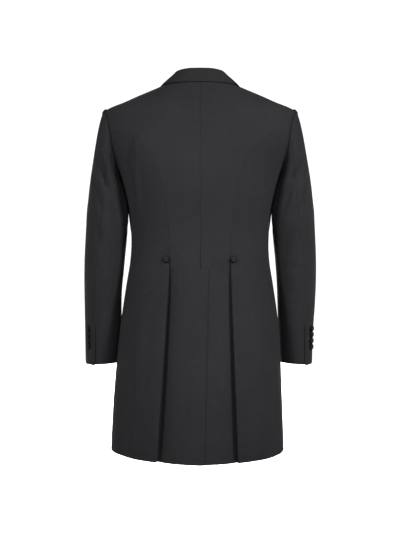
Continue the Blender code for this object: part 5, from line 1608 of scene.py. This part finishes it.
# %% Buttonholes in front
HOLE_FROM, HOLE_TO, HOLE_OUT, HOLE_STEPS = 0.004, 0.0150, 0.00012, 11
HOLE = {"Spacing": 0.00062, "Length": 0.0030, "Thickness": 0.00062, "Thread": thread}
holes, edges = [], []
for d in FRONT_BUTTON_DROPS:
    edges += [(len(holes) + k, len(holes) + k + 1) for k in range(HOLE_STEPS)]
    for k in range(HOLE_STEPS + 1):
        across = -(HOLE_FROM + (HOLE_TO - HOLE_FROM) * k / HOLE_STEPS)
        holes.append(surface(front_angle(across, d), d, HOLE_OUT))
buttonholes = grow("buttonholes_front", stitches, holes, edges, [(0, 0, 1)] * len(holes), "lay", HOLE)
print("buttonhole faces:", len(buttonholes.data.polygons))

# %% [markdown]
# ## What each piece is
# Each piece of cloth is measured for the size that it was cut to, and its sizes are printed. The cut is
# measured on the panel itself, because a tailor's panel is shaped by its seams and hardly stretches. The
# pattern piece lies upright, its width across the grain and its length down it.

# %% Measuring the pieces
MEASURED_DOWN = {"back": CENTRE_BACK, "side_body": FOLD_TIP, "front": -1}  # the columns that show the length
FULLEST = 0.999  # the most of its rectangle that a piece can fill


def cut_of(made, kind):
    """The width, length and area of a shell's pattern piece, from its map and its outer face."""
    mesh = made.data
    area = sum(p.area for p in mesh.polygons) / 2
    uv = np.zeros(2 * len(mesh.loops), np.float32)
    mesh.uv_layers["grain"].data.foreach_get("uv", uv)
    width, length = np.ptp(uv.reshape(-1, 2), axis=0)
    if kind in MEASURED_DOWN:
        line = grids[made.name][:, MEASURED_DOWN[kind]]
        length = np.linalg.norm(np.diff(line, axis=0), axis=1).sum()
    return float(width), float(length), float(area)


for name, made in made_pieces.items():
    node_name = name.removeprefix("cloth_")
    word = node_name.rsplit("_", 1)[-1]
    kind = node_name.removesuffix("_" + word)
    width, length, area = cut_of(made, kind)
    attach(made, "root")
    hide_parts(node_name)
    full = width * length
    print(f"{node_name}: {width * MM:.0f} x {length * MM:.0f} mm, {area:.4f} m2, fills {area / full:.2f}")
    area = min(area, FULLEST * full)

for name, made in sewn.items():
    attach(made, "root")
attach(buttonholes, "root")
for made, nodes in button_pieces.values():
    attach(made, "root")
    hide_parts(*nodes)
print("pieces:", len(made_pieces) + len(sewn) + 1 + len(button_pieces))

# %% [markdown]
# ## Light
# The photo was lit on white by soft lamps, so the back is light, the arms darken towards the body and the
# picture's right is lighter than its left. One lamp stands at each side, a small one above the camera lifts
# the shoulder blades, and one in front serves the other side of the coat. The floor, as far down as the
# wearer's feet would be, has four lamps of its own, turned away from the coat so that they don't reach it.

# %% Floor, sky and lamps
FLOOR, FLOOR_REACH, SKY, BACKDROP = -1.50, 12, 0.012, 1.15


def soft_lamp(name, place, target, size, watts, spread=180):
    data = bpy.data.lights.new(name, "AREA")
    data.shape, data.size, data.energy, data.spread = "DISK", size, watts, math.radians(spread)
    lamp = in_scene(name, data)
    lamp.location = place
    lamp.rotation_euler = (Vector(target) - Vector(place)).to_track_quat("-Z", "Y").to_euler()


floor_mesh = bpy.data.meshes.new("floor")
corners = [(x * FLOOR_REACH, y * FLOOR_REACH, FLOOR) for x, y in ((-1, -1), (1, -1), (1, 1), (-1, 1))]
floor_mesh.from_pydata(corners, [], [(0, 1, 2, 3)])
pale = bpy.data.materials.new("pale_floor")
pale.use_nodes = True
paint = {"Base Color": (0.92, 0.92, 0.92, 1), "Roughness": 0.9}
wire(pale.node_tree, pale.node_tree.nodes["Principled BSDF"], paint)
floor_mesh.materials.append(pale)
in_scene("floor", floor_mesh)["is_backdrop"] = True

world = bpy.data.worlds.new("studio")
world.use_nodes = True
bpy.context.scene.world = world
sky = world.node_tree
seen = node(sky, "ShaderNodeLightPath").outputs["Is Camera Ray"]
strength = node(sky, "ShaderNodeMix", {0: seen, 2: SKY, 3: BACKDROP}).outputs[0]
wire(sky, sky.nodes["Background"], {"Strength": strength, "Color": (1, 1, 1, 1)})

soft_lamp("right_lamp", (-2.4, 2.2, 1.1), (0, 0, -0.25), 0.8, 5.7, 50)
soft_lamp("left_lamp", (2.4, 2.2, 1.1), (0, 0, -0.25), 0.8, 3.6, 50)
soft_lamp("high_lamp", (-0.8, 2.6, 1.5), (0, 0, -0.10), 0.8, 0.6, 60)
soft_lamp("skirt_lamp", (-0.3, 2.8, 0.9), (0, 0, -0.80), 0.6, 0.45, 24)
soft_lamp("front_lamp", (1.3, -3.6, 0.7), (0, 0, -0.40), 1.4, 62)
for turn, watts in ((0, 3600), (90, 450), (180, 450), (270, 450)):
    way = np.array([math.sin(math.radians(turn)), -math.cos(math.radians(turn)), 0])
    soft_lamp(f"floor_lamp_{turn}", way * 6.5 + [0, 0, 4.5], way * 11.9 + [0, 0, FLOOR], 6.0, watts)
bpy.context.scene.view_settings.view_transform = "Standard"

# %% [markdown]
# ## The size
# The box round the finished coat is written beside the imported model's box, so that the two can be compared.

# %% The end
before = [[float(v) for v in corner] for corner in cad_bounds]
after = [[float(v) for v in corner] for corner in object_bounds()]
sizes = [[round(b - a, 4) for a, b in zip(*box)] for box in (before, after)]
print("CAD box:", sizes[0], "visual box:", sizes[1])
